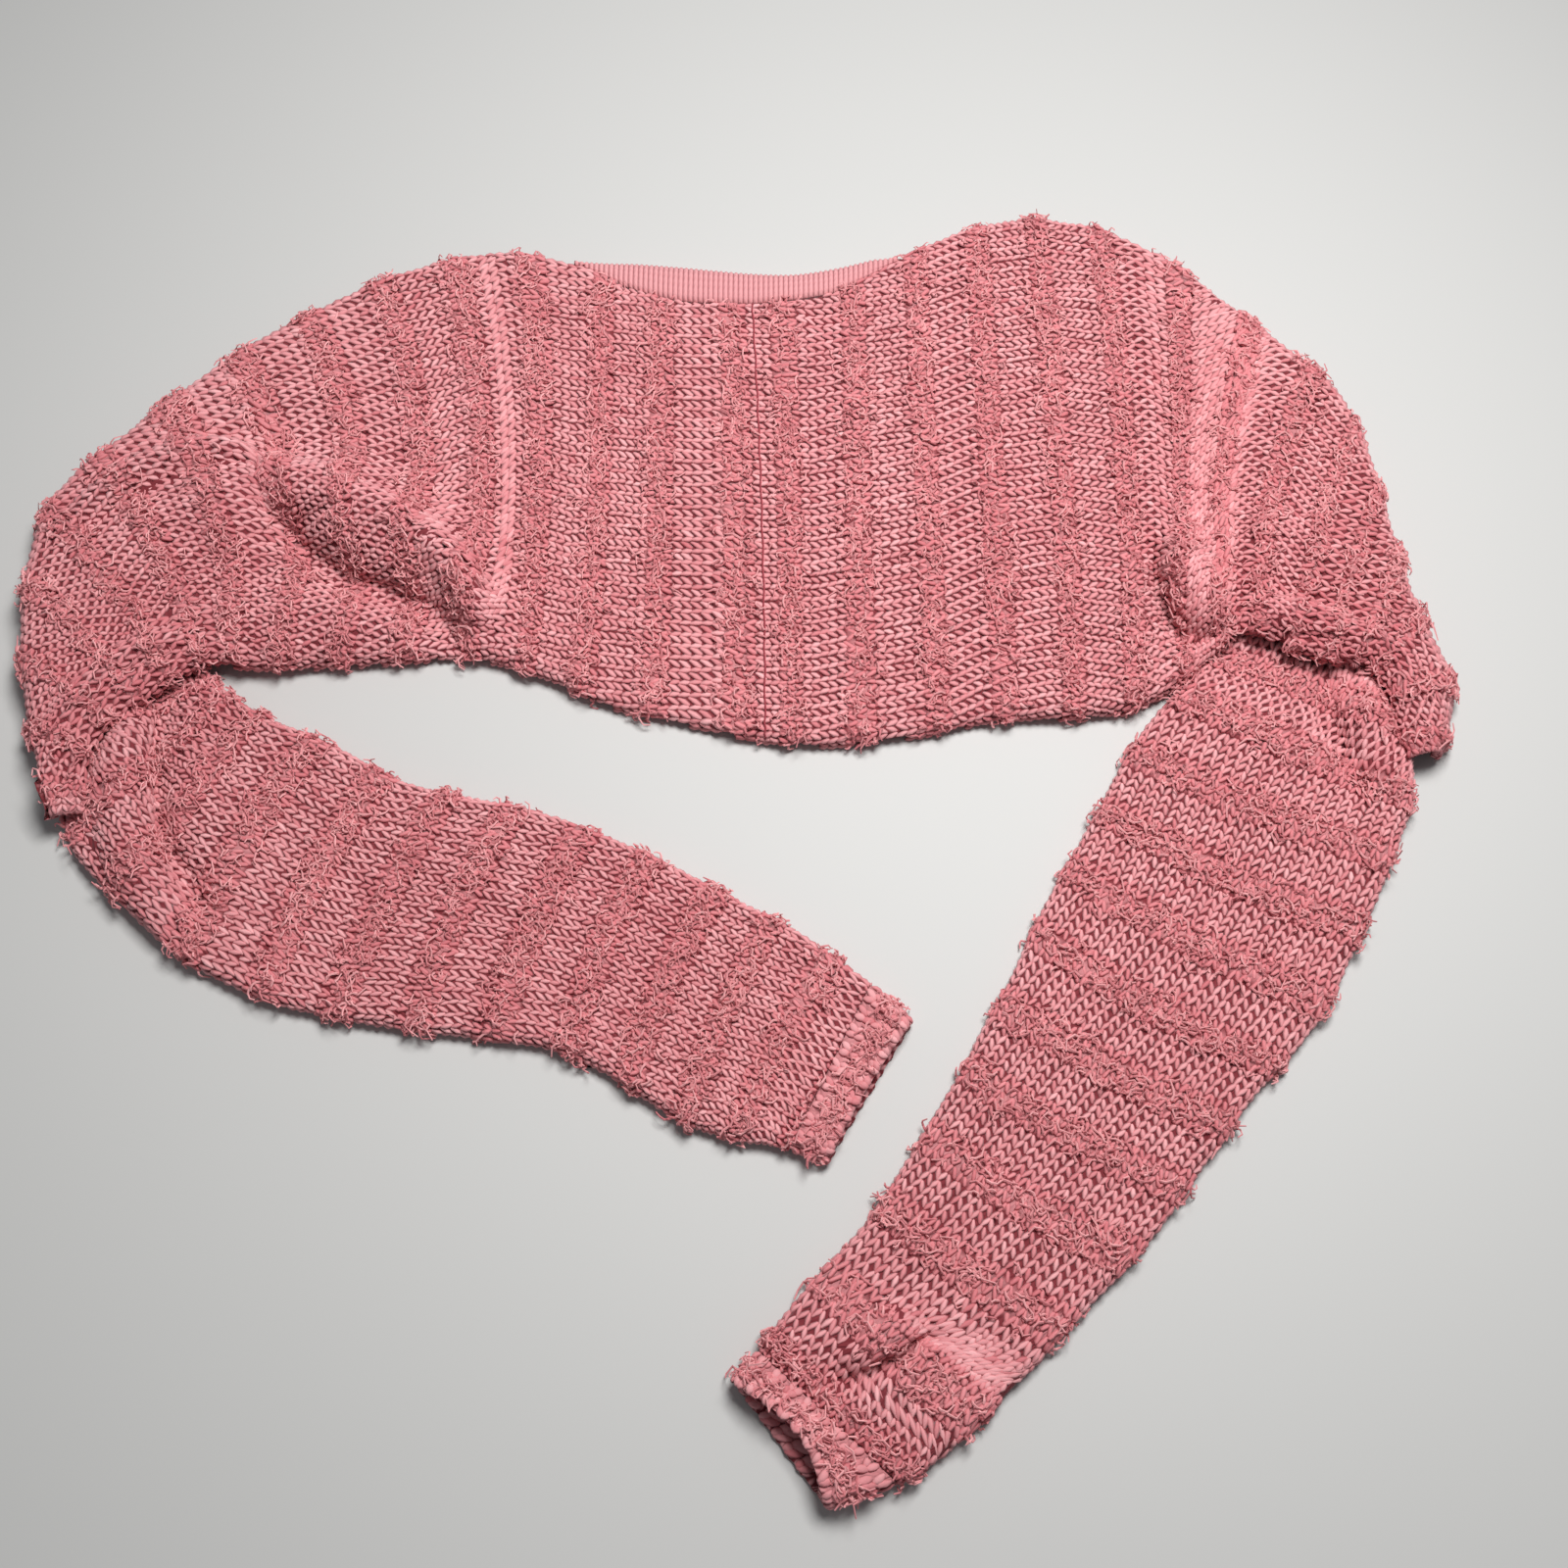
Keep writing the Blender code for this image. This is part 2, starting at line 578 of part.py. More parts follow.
def make_cuff(name, table, gape):
    """Ribbed tube; its upper lip draws back from the open end by the gape."""
    rows = [smooth_row(table, place) for place in even_places(table, CUFF_SECTIONS)]
    plain, normal = tube(rows, {}, 3 * CUFF_RIBS // 2 + 1)
    arm = plain[-1].mean(axis=0) - plain[0].mean(axis=0)
    arm[2] = 0
    arm /= np.linalg.norm(arm)
    plain[0] += SEAM_GAP * arm
    height = plain[-1, :, 2] / plain[-1, :, 2].max()
    span = np.linalg.norm(plain[-1, :, 0:2] - rows[-1][[LOW_X, LOW_Y]], axis=1)
    share = np.clip(span / section_frame(rows[-1])[2], 0, 1)
    plain[-1] -= np.outer(gape * height * np.sin(math.pi * share), arm)
    around = np.arange(plain.shape[1]) / plain.shape[1]
    rib = 0.5 + 0.5 * np.cos(2 * math.pi * CUFF_RIBS * around)
    growth = np.clip(np.linspace(0, 2, CUFF_SECTIONS), CUFF_RIB_START, 1)
    outer = plain + CUFF_RIB_HEIGHT * growth[:, None, None] * rib[None, :, None] * normal
    outer[:, :, 2] = np.maximum(outer[:, :, 2], 0)
    build_wall(name, outer, plain - KNIT_WALL * normal, True, DEEP_PINK)


def seam_points(seam, start, end, count):
    """Points evenly along a seam line, between two places across the garment."""
    seam = seam[np.argsort(seam[:, 0])]
    way = np.linspace(start, end, count)
    return np.stack([way, np.interp(way, seam[:, 0], seam[:, 1]),
                     np.interp(way, seam[:, 0], seam[:, 2])], axis=1)


def make_neck_band(seam):
    """Ribbed band sewn to the upper layer's seam line, rolling over the top edge to the table."""
    ribs = round((BAND_END - BAND_START) / BAND_RIB_PITCH)
    joins = seam_points(seam, BAND_START, BAND_END, 2 * ribs + 1)
    rows = []
    for place, join in zip(np.linspace(0, len(NECK_EDGE) - 1, len(joins)), joins):
        edge = smooth_row(NECK_EDGE, place)
        start = join[0:2] + np.array([0, SEAM_GAP])
        rim = max(edge[EDGE_RIM], SEAM_GAP)
        rows.append(np.array([*start, edge[EDGE_X], edge[EDGE_Y], 0, edge[EDGE_TOP], join[2], rim]))
    plain, normal = laid_layer(rows, {}, BAND_POINTS, 0)
    inner = plain - BAND_WALL * normal
    lift = BAND_RIB_HEIGHT * (np.arange(len(rows)) % 2)
    fade = np.interp(np.arange(BAND_POINTS), (0, 1, BAND_POINTS - 2, BAND_POINTS - 1), (0, 1, 1, 0))
    outer = plain + normal * lift[:, None, None] * fade[None, :, None]
    build_wall("neck_band", outer, inner, False, PALE_PINK)


def make_neck_band_under(seam):
    """Hidden stretch of the band on the lower layer: a plain flat strip on the table."""
    joins = seam_points(seam, UNDER_BAND_START, UNDER_BAND_END, UNDER_BAND_SECTIONS)
    strip = []
    for join in joins:
        inner_edge = np.array([join[0], join[1] + SEAM_GAP, 0])
        strip.append([inner_edge, inner_edge + np.array([0, UNDER_BAND_WIDTH, 0])])
    outer = np.array(strip)
    build_wall("neck_band_under", outer, outer + np.array([0, 0, BAND_WALL]), False, PALE_PINK)


clear_scene()
PARTS = bpy.data.collections.new("knitted_shrug")
bpy.context.scene.collection.children.link(PARTS)

upper_seam = [make_back("back_left", LEFT_BACK, LEFT_BACK_FOLDS, -1),
              make_back("back_right", RIGHT_BACK, RIGHT_BACK_FOLDS, 1)]
under_seam = [make_under("under_left", LEFT_BACK, LEFT_UNDER_END, -1),
              make_under("under_right", RIGHT_BACK, RIGHT_UNDER_END, 1)]
make_forearm("forearm_left", LEFT_ARM, LEFT_ARM_FOLDS)
make_forearm("forearm_right", RIGHT_ARM, RIGHT_ARM_FOLDS)
make_cuff("cuff_left", LEFT_CUFF, LEFT_CUFF_GAPE)
make_cuff("cuff_right", RIGHT_CUFF, RIGHT_CUFF_GAPE)
make_neck_band(np.vstack(upper_seam))
make_neck_band_under(np.vstack(under_seam))
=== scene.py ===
import math

import bpy
import numpy as np
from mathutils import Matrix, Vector


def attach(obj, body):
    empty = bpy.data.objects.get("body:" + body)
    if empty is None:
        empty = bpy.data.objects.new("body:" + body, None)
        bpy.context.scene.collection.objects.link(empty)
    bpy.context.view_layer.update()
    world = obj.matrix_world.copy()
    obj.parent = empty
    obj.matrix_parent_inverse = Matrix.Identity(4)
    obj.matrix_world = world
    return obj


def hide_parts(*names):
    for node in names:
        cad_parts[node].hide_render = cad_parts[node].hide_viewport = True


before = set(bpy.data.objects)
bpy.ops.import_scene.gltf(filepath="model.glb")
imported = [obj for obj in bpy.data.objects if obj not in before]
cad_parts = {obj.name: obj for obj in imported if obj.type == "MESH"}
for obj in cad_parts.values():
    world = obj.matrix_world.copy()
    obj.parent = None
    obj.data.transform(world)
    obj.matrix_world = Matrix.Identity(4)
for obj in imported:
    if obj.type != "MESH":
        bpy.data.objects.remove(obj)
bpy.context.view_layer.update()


# Left half of the shrug: back and upper sleeve in one piece, the upper layer of a flat tube.
# Chunky cotton knit worked sideways, so its columns of stitches run along the arm. It is laid
# on the table by hand, and its sleeve is folded under at the elbow.
MM = 0.001
LAY_CENTRE = (-24.55, 3.78)
KNIT_WALL = 2.8
SEAM_GAP = 0.3
RISE_STEPS = (1.5, 4.3, 12.0, 20.0)
RUN_STEPS = (6.0, 4.3, 10.0, 15.0)
PROFILE_STEPS = 160
BEND_WEIGHT = 0.11
CROWN = 0.7
HALF_POINTS = 50
WALE_WIDTH = 5.8
COURSE_LENGTH = 3.9
INNER_REST = 0.3

# Columns of the tables of sections. Each row is one course of the knit: its low end, its
# high end, how far its middle bows, the height of the cloth and, for one laid layer, the
# heights of its two rims.
LOW_X, LOW_Y, HIGH_X, HIGH_Y, BOW, TOP, LOW_RIM, HIGH_RIM = range(8)

# Columns of the tables of folds. Each row is a place on the crest line, its height (negative
# for a furrow), the half width to the right of the line and to its left, and how far the
# crest leans to the right.
FOLD_X, FOLD_Y, HEIGHT, RIGHT_HALF, LEFT_HALF, LEAN = range(6)

LEFT_BACK = (
    (-8.4, 19.0, -15.8, 250.0, 1.6, 9.0, 4.5, 7.6),
    (-49.5, 29.0, -52.3, 252.0, 1, 9.1, 4.5, 7.6),
    (-79.0, 36.5, -79.0, 260.5, 2, 9.5, 4.7, 7.2),
    (-102.0, 47.0, -104.0, 273.5, 4, 10.2, 4.8, 5.6),
    (-124.0, 55.5, -139.5, 280.0, 8, 11.2, 4.8, 5.0),
    (-148.6, 60.0, -174.5, 273.4, 12, 12.0, 4.8, 5.0),
    (-178.4, 57.6, -209.5, 258.6, 16, 12.8, 4.8, 5.0),
    (-208.1, 55.6, -244.8, 236.4, 17, 13.6, 5.0, 5.0),
    (-236.0, 53.2, -279.4, 209.2, 14, 15.4, 7.2, 4.6),
    (-256.8, 54.8, -316.4, 172.0, 9, 18.0, 11.8, 3.0),
    (-271.1, 47.0, -343.6, 138.8, 5, 20.5, 13.6, 0.6),
    (-285.3, 34.0, -349.4, 93.0, 3, 22.5, 13.8, 0.4),
    (-298.5, 21.6, -342.0, 48.0, 0, 22.0, 13.8, 0.4),
    (-306.5, 4.5, -331.5, 9.5, 0, 20.0, 13.8, 0.4),
    (-303.5, -18.5, -318.5, -21.5, 0, 17.2, 13.8, 9.0),
)
LEFT_BACK_FOLDS = {
    "main ridge": (
        (-312, 84, 1.0, 24, 22, 0),
        (-306, 100, 3.5, 30, 24, 0),
        (-288, 127, 7.0, 36, 24, 2),
        (-268, 139, 11.0, 42, 24, 3),
        (-248, 143, 14.0, 40, 25, 5),
        (-229, 145, 17.0, 30, 27, 8),
        (-211, 143, 18.0, 28, 28, 9),
        (-192, 134, 17.5, 27, 29, 9),
        (-173, 121, 16.5, 24, 29, 8),
        (-158, 107, 15.0, 20, 27, 7),
        (-147, 91, 12.0, 17, 25, 5),
        (-141, 72, 7.0, 13, 20, 2),
        (-139, 57, 2.0, 10, 16, 0),
    ),
    "valley under the ridge": (
        (-243, 134, -1.0, 9, 9, 0),
        (-225, 124, -3.5, 9, 8, 0),
        (-216, 108, -4.5, 9, 8, 0),
        (-202, 97, -4.8, 9, 8, 0),
        (-184, 92, -4.8, 9, 8, 0),
        (-167, 86, -4.8, 9, 8, 0),
        (-154, 72, -4.2, 9, 8, 0),
        (-147, 60, -2.0, 8, 8, 0),
    ),
    "swelling of the underarm": (
        (-262, 78, 1.5, 18, 20, 0),
        (-228, 76, 3.0, 18, 20, 0),
        (-196, 74, 3.0, 16, 14, 0),
        (-166, 68, 1.5, 12, 10, 0),
    ),
    "soft fold beside the ridge": (
        (-300, 158, 1.0, 16, 16, 0),
        (-262, 184, 2.5, 20, 20, 0),
        (-222, 186, 2.5, 20, 20, 0),
        (-184, 170, 1.0, 18, 18, 0),
    ),
}


def smooth_row(table, place):
    """Row of a table at a fractional place, on a smooth curve through the rows."""
    rows = np.array(table, dtype=float)
    last = len(rows) - 1
    start = int(min(max(math.floor(place), 0), last - 1))
    t = place - start
    before = rows[start - 1] if start > 0 else 2 * rows[0] - rows[1]
    here = rows[start]
    ahead = rows[start + 1]
    after = rows[start + 2] if start + 2 <= last else 2 * rows[last] - rows[last - 1]
    return 0.5 * (
        2 * here
        + (ahead - before) * t
        + (2 * before - 5 * here + 4 * ahead - after) * t ** 2
        + (3 * here - before - 3 * ahead + after) * t ** 3
    )


def even_places(table, count):
    """Places in a table whose sections are evenly far apart along the middle of the cloth."""
    fine = np.linspace(0, len(table) - 1, 20 * len(table))
    rows = np.array([smooth_row(table, place) for place in fine])
    middle = (rows[:, (LOW_X, LOW_Y)] + rows[:, (HIGH_X, HIGH_Y)]) / 2
    steps = np.hypot(*np.diff(middle, axis=0).T)
    travelled = np.concatenate([[0], np.cumsum(steps)])
    return np.interp(np.linspace(0, travelled[-1], count), travelled, fine)


def edge_curve(rise, width, way):
    """Run of an edge, the angle it turns, and a function of its distance across and drop.

    The edge curves from its rim, through a rise, into the flat cloth. It turns a full quarter
    at a fold and less at a seam."""
    run = min(np.interp(abs(rise), RISE_STEPS, RUN_STEPS), 0.46 * width)
    turn = min(2 * math.atan2(abs(rise), run), math.pi / 2)
    arc = 0.79 * (run + abs(rise))
    angle = turn * (1 - np.clip(way / arc, 0, 1))
    across = run * (1 - np.sin(angle) / math.sin(turn))
    drop = rise * (1 - np.cos(angle)) / (1 - math.cos(turn))
    return run, turn, arc, across, drop


def across_profile(width, low_rim, level, high_rim):
    """Distances across a section and heights there, and the turn at each edge."""
    low_run, low_turn, low_arc = edge_curve(level - low_rim, width, 0)[0:3]
    high_run, high_turn, high_arc = edge_curve(level - high_rim, width, 0)[0:3]
    flat = width - low_run - high_run
    way = np.linspace(0, low_arc + flat + high_arc, PROFILE_STEPS)
    low_across, low_drop = edge_curve(level - low_rim, width, way)[3:5]
    high_across, high_drop = edge_curve(level - high_rim, width, way[-1] - way)[3:5]
    distance = low_across + np.clip(way - low_arc, 0, flat) + high_run - high_across
    inside = np.clip(np.minimum(way / low_arc, (way[-1] - way) / high_arc), 0, 1)
    return distance, level - low_drop - high_drop, (low_turn, high_turn), inside


def fold_move(points, folds, share_inside):
    """Points of a section raised and leant by every fold near them, but not at the rims."""
    moved = points.copy()
    for rows in folds.values():
        places = np.linspace(0, len(rows) - 1, 12 * len(rows))
        crest = np.array([smooth_row(rows, place) for place in places])
        line = crest[:, (FOLD_X, FOLD_Y)]
        direction = np.gradient(line, axis=0)
        direction /= np.linalg.norm(direction, axis=1)[:, None]
        right = np.stack([direction[:, 1], -direction[:, 0]], axis=1)
        offset = points[:, None, 0:2] - line[None, :, :]
        nearest = np.argmin(np.linalg.norm(offset, axis=2), axis=1)
        picked = offset[np.arange(len(points)), nearest]
        side = np.sum(picked * right[nearest], axis=1)
        half = np.where(side > 0, crest[nearest, RIGHT_HALF], crest[nearest, LEFT_HALF])
        reach = np.clip(np.linalg.norm(picked, axis=1) / half, 0, 1)
        share = (0.5 + 0.5 * np.cos(math.pi * reach)) * share_inside
        moved[:, 2] += crest[nearest, HEIGHT] * share
        moved[:, 0:2] += (crest[nearest, LEAN] * share)[:, None] * right[nearest]
    return moved


def spread(points, count):
    """Resample a section so that its points crowd a little where the cloth bends."""
    step = np.linalg.norm(np.diff(points, axis=0), axis=1)
    heading = np.diff(points, axis=0) / np.maximum(step, 1e-9)[:, None]
    bend = np.zeros(len(step))
    bend[1:] = np.linalg.norm(np.diff(heading, axis=0), axis=1)
    bend = np.convolve(bend, np.ones(7) / 7, mode="same")
    travelled = np.concatenate([[0], np.cumsum(step / step.sum() + bend * BEND_WEIGHT)])
    wanted = np.linspace(0, travelled[-1], count)
    return np.stack([np.interp(wanted, travelled, points[:, axis]) for axis in range(3)], axis=1)


def section_frame(row):
    """Ways along a section, from its low to its high end, and along the arm, and its width."""
    across = row[[HIGH_X, HIGH_Y]] - row[[LOW_X, LOW_Y]]
    width = np.linalg.norm(across)
    across = across / width
    return across, np.array([across[1], -across[0]]), width


def section_line(row, distance, height):
    """Points of one section in space, from its plan ends, its bow and its profile."""
    across, arm, width = section_frame(row)
    share = distance / width
    bow = row[BOW] * 4 * share * (1 - share)
    plan = row[[LOW_X, LOW_Y]] + np.outer(distance, across) + np.outer(bow, arm)
    return np.column_stack([plan, height])


def grid_normals(grid, closed):
    """Unit normals of a grid of points."""
    if closed:
        across = np.roll(grid, -1, axis=1) - np.roll(grid, 1, axis=1)
    else:
        across = np.gradient(grid, axis=1)
    normal = np.cross(np.gradient(grid, axis=0), across)
    return normal / np.linalg.norm(normal, axis=2)[:, :, None]


def square_ends(normal, rows):
    """Normals of the first and last section turned into the section's own plane."""
    for end, row in ((0, rows[0]), (-1, rows[-1])):
        arm = np.append(section_frame(row)[1], 0)
        normal[end] -= np.outer(normal[end] @ arm, arm)
        normal[end] /= np.linalg.norm(normal[end], axis=1)[:, None]
    return normal


def laid_layer(rows, folds, points, crown):
    """Outer points and outward normals of one laid layer, a row of the grid for each section."""
    grid = []
    rims = []
    for row in rows:
        across, arm, width = section_frame(row)
        level = row[TOP]
        distance, height, turns, inside = across_profile(width, row[LOW_RIM], level, row[HIGH_RIM])
        height = height + crown * np.sin(math.pi * distance / width) ** 2
        grid.append(spread(fold_move(section_line(row, distance, height), folds, inside), points))
        way = 1 if level > row[LOW_RIM] else -1
        low = np.append(-across * math.sin(turns[0]), way * math.cos(turns[0]))
        high = np.append(across * math.sin(turns[1]), way * math.cos(turns[1]))
        rims.append((low, high))
    grid = np.array(grid)
    normal = grid_normals(grid, False)
    if np.sign(normal[:, points // 2, 2].mean()) != way:
        normal = -normal
    rims = np.array(rims)
    normal[:, 0] = rims[:, 0]
    normal[:, -1] = rims[:, 1]
    return grid, square_ends(normal, rows)


# Stripes: four plain courses and four of fuzzy yarn, over and over. A stripe table gives the
# place, in its table of sections, of the middle of each fuzzy stripe.
STRIPE_COURSES = 8
FUZZY_HALF = 1.55
FUZZY_RISE = 1.0
STRIPE_EASE = 9


def course_rows(table, stripes, first):
    """Place and row of each course of the knit; first is the first stripe's course."""
    known = first + STRIPE_COURSES * np.arange(len(stripes))
    last = len(table) - 1
    slope = (stripes[-1] - stripes[-2]) / STRIPE_COURSES
    count = math.floor(known[-1] + (last - stripes[-1]) / slope)
    courses = np.arange(-STRIPE_EASE, count + STRIPE_EASE + 1)
    start_slope = stripes[0] / first
    places = np.interp(courses, known, stripes)
    places = np.where(courses < known[0], start_slope * courses, places)
    places = np.where(courses > known[-1], stripes[-1] + slope * (courses - known[-1]), places)
    places = np.convolve(places, np.ones(STRIPE_EASE) / STRIPE_EASE, mode="same")
    places = places[STRIPE_EASE:-STRIPE_EASE]
    places = (places - places[0]) / (places[-1] - places[0]) * last
    return places, np.array([smooth_row(table, place) for place in places])


def stripe_share(course, first):
    """1 in the middle of a fuzzy stripe, 0 outside it."""
    half = STRIPE_COURSES / 2
    away = np.abs((course - first + half) % STRIPE_COURSES - half)
    return np.clip((FUZZY_HALF + 0.5 - away) / 1.0, 0, 1)


# Creases: the half width of the trough, the crest of the roll on its left as a share of that
# roll's width and how blunt the roll is, then rows with a place on the trough's bottom, its depth,
# the roll's height over the table and width, and how far the roll leans over the trough.
CREASE_X, CREASE_Y, DEPTH, ROLL, ROLL_WIDTH, OVERHANG = range(6)


def crease_move(grid, creases, lowest):
    """A grid of cloth with sharp creases and rolls, none of them below the layer under it."""
    points = grid.reshape(-1, 3).copy()
    for half, crest, blunt, rows in creases.values():
        places = np.linspace(0, len(rows) - 1, 12 * len(rows))
        line = np.array([smooth_row(rows, place) for place in places])
        way = line[:, (CREASE_X, CREASE_Y)]
        direction = np.gradient(way, axis=0)
        direction /= np.linalg.norm(direction, axis=1)[:, None]
        left = np.stack([-direction[:, 1], direction[:, 0]], axis=1)
        offset = points[:, None, 0:2] - way[None, :, :]
        nearest = np.argmin(np.linalg.norm(offset, axis=2), axis=1)
        picked = offset[np.arange(len(points)), nearest]
        side = np.sum(picked * left[nearest], axis=1)
        away = np.linalg.norm(picked, axis=1)
        trough = line[nearest, DEPTH] * np.exp(-(away / half) ** 1.6)
        sunk = np.maximum(points[:, 2] - trough, np.minimum(points[:, 2], lowest))
        share = np.clip(away / line[nearest, ROLL_WIDTH], 0, 1)
        climb = np.where(share < crest, share / crest, (1 - share) / (1 - crest))
        roll = np.where(side > 0, np.sin(math.pi / 2 * climb) ** blunt, 0) * line[nearest, ROLL]
        raised = np.maximum(roll - sunk, 0)
        raised *= np.clip(raised / 3, 0, 1)
        points[:, 2] = sunk + raised
        points[:, 0:2] -= (line[nearest, OVERHANG] * np.clip(raised / 10, 0, 1))[:, None] * left[nearest]
    return points.reshape(grid.shape)


def uneven(grid):
    """How far laid cloth swells here and there, in millimetres."""
    x, y = grid[:, :, 0], grid[:, :, 1]
    wide = np.sin(x / 19 + 1.3 * np.sin(y / 31)) * np.sin(y / 24 + 1.1 * np.sin(x / 37))
    narrow = np.sin(x / 8.5 + y / 29) * np.sin(y / 10.5 - x / 41)
    return 0.6 * wide + 0.25 * narrow


def make_wall(name, outer, inner, closed, chart_uv, covered, felt=None):
    """Closed wall of cloth between two grids, with its knit chart as a UV map."""
    felt = 0 * covered if felt is None else felt
    facing = np.sum(grid_normals(outer, closed) * (outer - inner), axis=2).mean()
    if facing < 0:
        outer, inner = outer[:, ::-1], inner[:, ::-1]
        chart_uv, covered, felt = chart_uv[:, ::-1], covered[:, ::-1], felt[:, ::-1]
    rows, columns = outer.shape[0:2]
    vertices = np.vstack([outer.reshape(-1, 3), inner.reshape(-1, 3)])
    vertices = (vertices - np.array([LAY_CENTRE[0], LAY_CENTRE[1], 0])) * MM
    inside = rows * columns
    spans = columns if closed else columns - 1
    row, column = [part.ravel() for part in np.meshgrid(range(rows - 1), range(spans), indexing="ij")]
    after = (column + 1) % columns
    skin = np.stack([row * columns + column, (row + 1) * columns + column,
                     (row + 1) * columns + after, row * columns + after], axis=1)
    faces = [skin, inside + skin[:, ::-1]]
    first = np.arange(spans)
    second = (first + 1) % columns
    last = (rows - 1) * columns
    faces.append(np.stack([first, second, inside + second, inside + first], axis=1))
    first, second = last + first, last + second
    faces.append(np.stack([second, first, inside + first, inside + second], axis=1))
    if not closed:
        low = np.arange(rows - 1) * columns
        high = low + columns - 1
        faces.append(np.stack([low + columns, low, inside + low, inside + low + columns], axis=1))
        faces.append(np.stack([high, high + columns, inside + high + columns, inside + high], axis=1))
    faces = np.vstack(faces)
    mesh = bpy.data.meshes.new(name)
    mesh.from_pydata(vertices.tolist(), [], faces.tolist())
    mesh.shade_smooth()
    uv = np.vstack([chart_uv.reshape(-1, 2)] * 2)[faces.ravel()]
    if closed:
        # The last span of a tube runs on from the columns before it
        loops = uv.reshape(-1, 4, 2)
        wide = np.ptp(loops[:, :, 1], axis=1) > chart_uv[:, :, 1].max() / 2
        loops[wide, :, 1] = np.where(loops[wide, :, 1] < chart_uv[:, :, 1].max() / 2,
                                     loops[wide, :, 1] + chart_uv[:, :, 1].max(), loops[wide, :, 1])
        uv = loops.reshape(-1, 2)
    layer = mesh.uv_layers.new(name="chart")
    layer.data.foreach_set("uv", uv.astype(np.float32).ravel())
    for label, values in (("covered", covered), ("felt", felt)):
        layer = mesh.attributes.new(label, "FLOAT", "POINT")
        both = np.concatenate([values.ravel(), 0 * values.ravel()])
        layer.data.foreach_set("value", both.astype(np.float32))
    piece = bpy.data.objects.new(name, mesh)
    bpy.context.scene.collection.objects.link(piece)
    return piece


def finish_cloth(piece, material, node):
    """Cloth in its material, on its body and in the place of its plain CAD node."""
    piece.data.materials.append(material)
    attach(piece, "root")
    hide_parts(node)
    return piece


CHART_COLUMNS = 160
OVER_EDGE = 0.3


def chart_of(grid, closed, over=None):
    """A grid resampled evenly along each course, with its normals and lengths, to lay stitches on.

    over is the column of a tube's grid at which its upper side ends."""
    lines = np.concatenate([grid, grid[:, :1]], axis=1) if closed else grid
    steps = np.linalg.norm(np.diff(lines, axis=1), axis=2)
    travelled = np.concatenate([np.zeros((len(grid), 1)), np.cumsum(steps, axis=1)], axis=1)
    shares = np.linspace(0, 1, CHART_COLUMNS, endpoint=not closed)
    even = np.array([[np.interp(shares * way[-1], way, line[:, axis]) for axis in range(3)]
                     for way, line in zip(travelled, lines)]).transpose(0, 2, 1)
    normal = grid_normals(even, closed)
    if normal[:, CHART_COLUMNS // (4 if closed else 2), 2].mean() < 0:
        normal = -normal
    top = travelled[:, -1] if over is None else travelled[:, over]
    return {"points": even, "out": normal, "length": travelled[:, -1], "over": top, "closed": closed}


def on_chart(chart, course, way):
    """Places on the cloth and outward directions there, for courses and ways in millimetres.

    Beyond the rims of an open layer the cloth goes straight down."""
    rows = len(chart["points"])
    course = np.clip(course, -OVER_EDGE, rows - 1.001)
    row = np.maximum(np.floor(course), 0).astype(int)
    t = (course - row)[:, None]
    length = chart["length"][row] * (1 - t[:, 0]) + chart["length"][row + 1] * t[:, 0]
    beyond = 0
    if chart["closed"]:
        column = (way / length % 1) * CHART_COLUMNS
        left = np.floor(column).astype(int)
        s = (column - left)[:, None]
        left = left % CHART_COLUMNS
        right = (left + 1) % CHART_COLUMNS
    else:
        column = np.clip(way / length, 0, 1) * (CHART_COLUMNS - 1)
        left = np.minimum(np.floor(column).astype(int), CHART_COLUMNS - 2)
        s = (column - left)[:, None]
        right = left + 1
        beyond = np.maximum(-way, 0) + np.maximum(way - length, 0)
    found = []
    for grid in (chart["points"], chart["out"]):
        near = grid[row, left] * (1 - s) + grid[row, right] * s
        far = grid[row + 1, left] * (1 - s) + grid[row + 1, right] * s
        found.append(near * (1 - t) + far * t)
    found[0][:, 2] -= beyond
    found[1] /= np.linalg.norm(found[1], axis=1)[:, None]
    return found


def shader_node(tree, kind, inputs=(), **settings):
    """Adds a node; its inputs are values, or sockets to link from."""
    node = tree.nodes.new(kind)
    for name, value in settings.items():
        setattr(node, name, value)
    for key, value in dict(inputs).items():
        if isinstance(value, bpy.types.NodeSocket):
            tree.links.new(value, node.inputs[key])
        else:
            node.inputs[key].default_value = value
    return node


def new_group(name, kind, inputs, outputs):
    """Node group with named sockets, and its Group Input and Group Output nodes."""
    tree = bpy.data.node_groups.new(name, kind)
    for label, socket, value in inputs:
        made = tree.interface.new_socket(label, in_out="INPUT", socket_type=socket)
        if value is not None:
            made.default_value = value
    for label, socket in outputs:
        tree.interface.new_socket(label, in_out="OUTPUT", socket_type=socket)
    return tree, tree.nodes.new("NodeGroupInput"), tree.nodes.new("NodeGroupOutput")


def maths(tree, operation, first, second=0.0, third=0.0):
    inputs = {0: first, 1: second, 2: third}
    return shader_node(tree, "ShaderNodeMath", inputs, operation=operation).outputs[0]


# Colour of the yarn: pink with soft patches, and painted shade that darkens it where it dips between its
# neighbours
YARN_PAINTED_SHADE = (0.150, 0.010, 0.016, 1)
YARN_BASE = (0.600, 0.175, 0.195, 1)
YARN_LIGHT = (0.870, 0.450, 0.465, 1)
GROUND_PAINTED_SHADE = (0.200, 0.030, 0.038, 1)


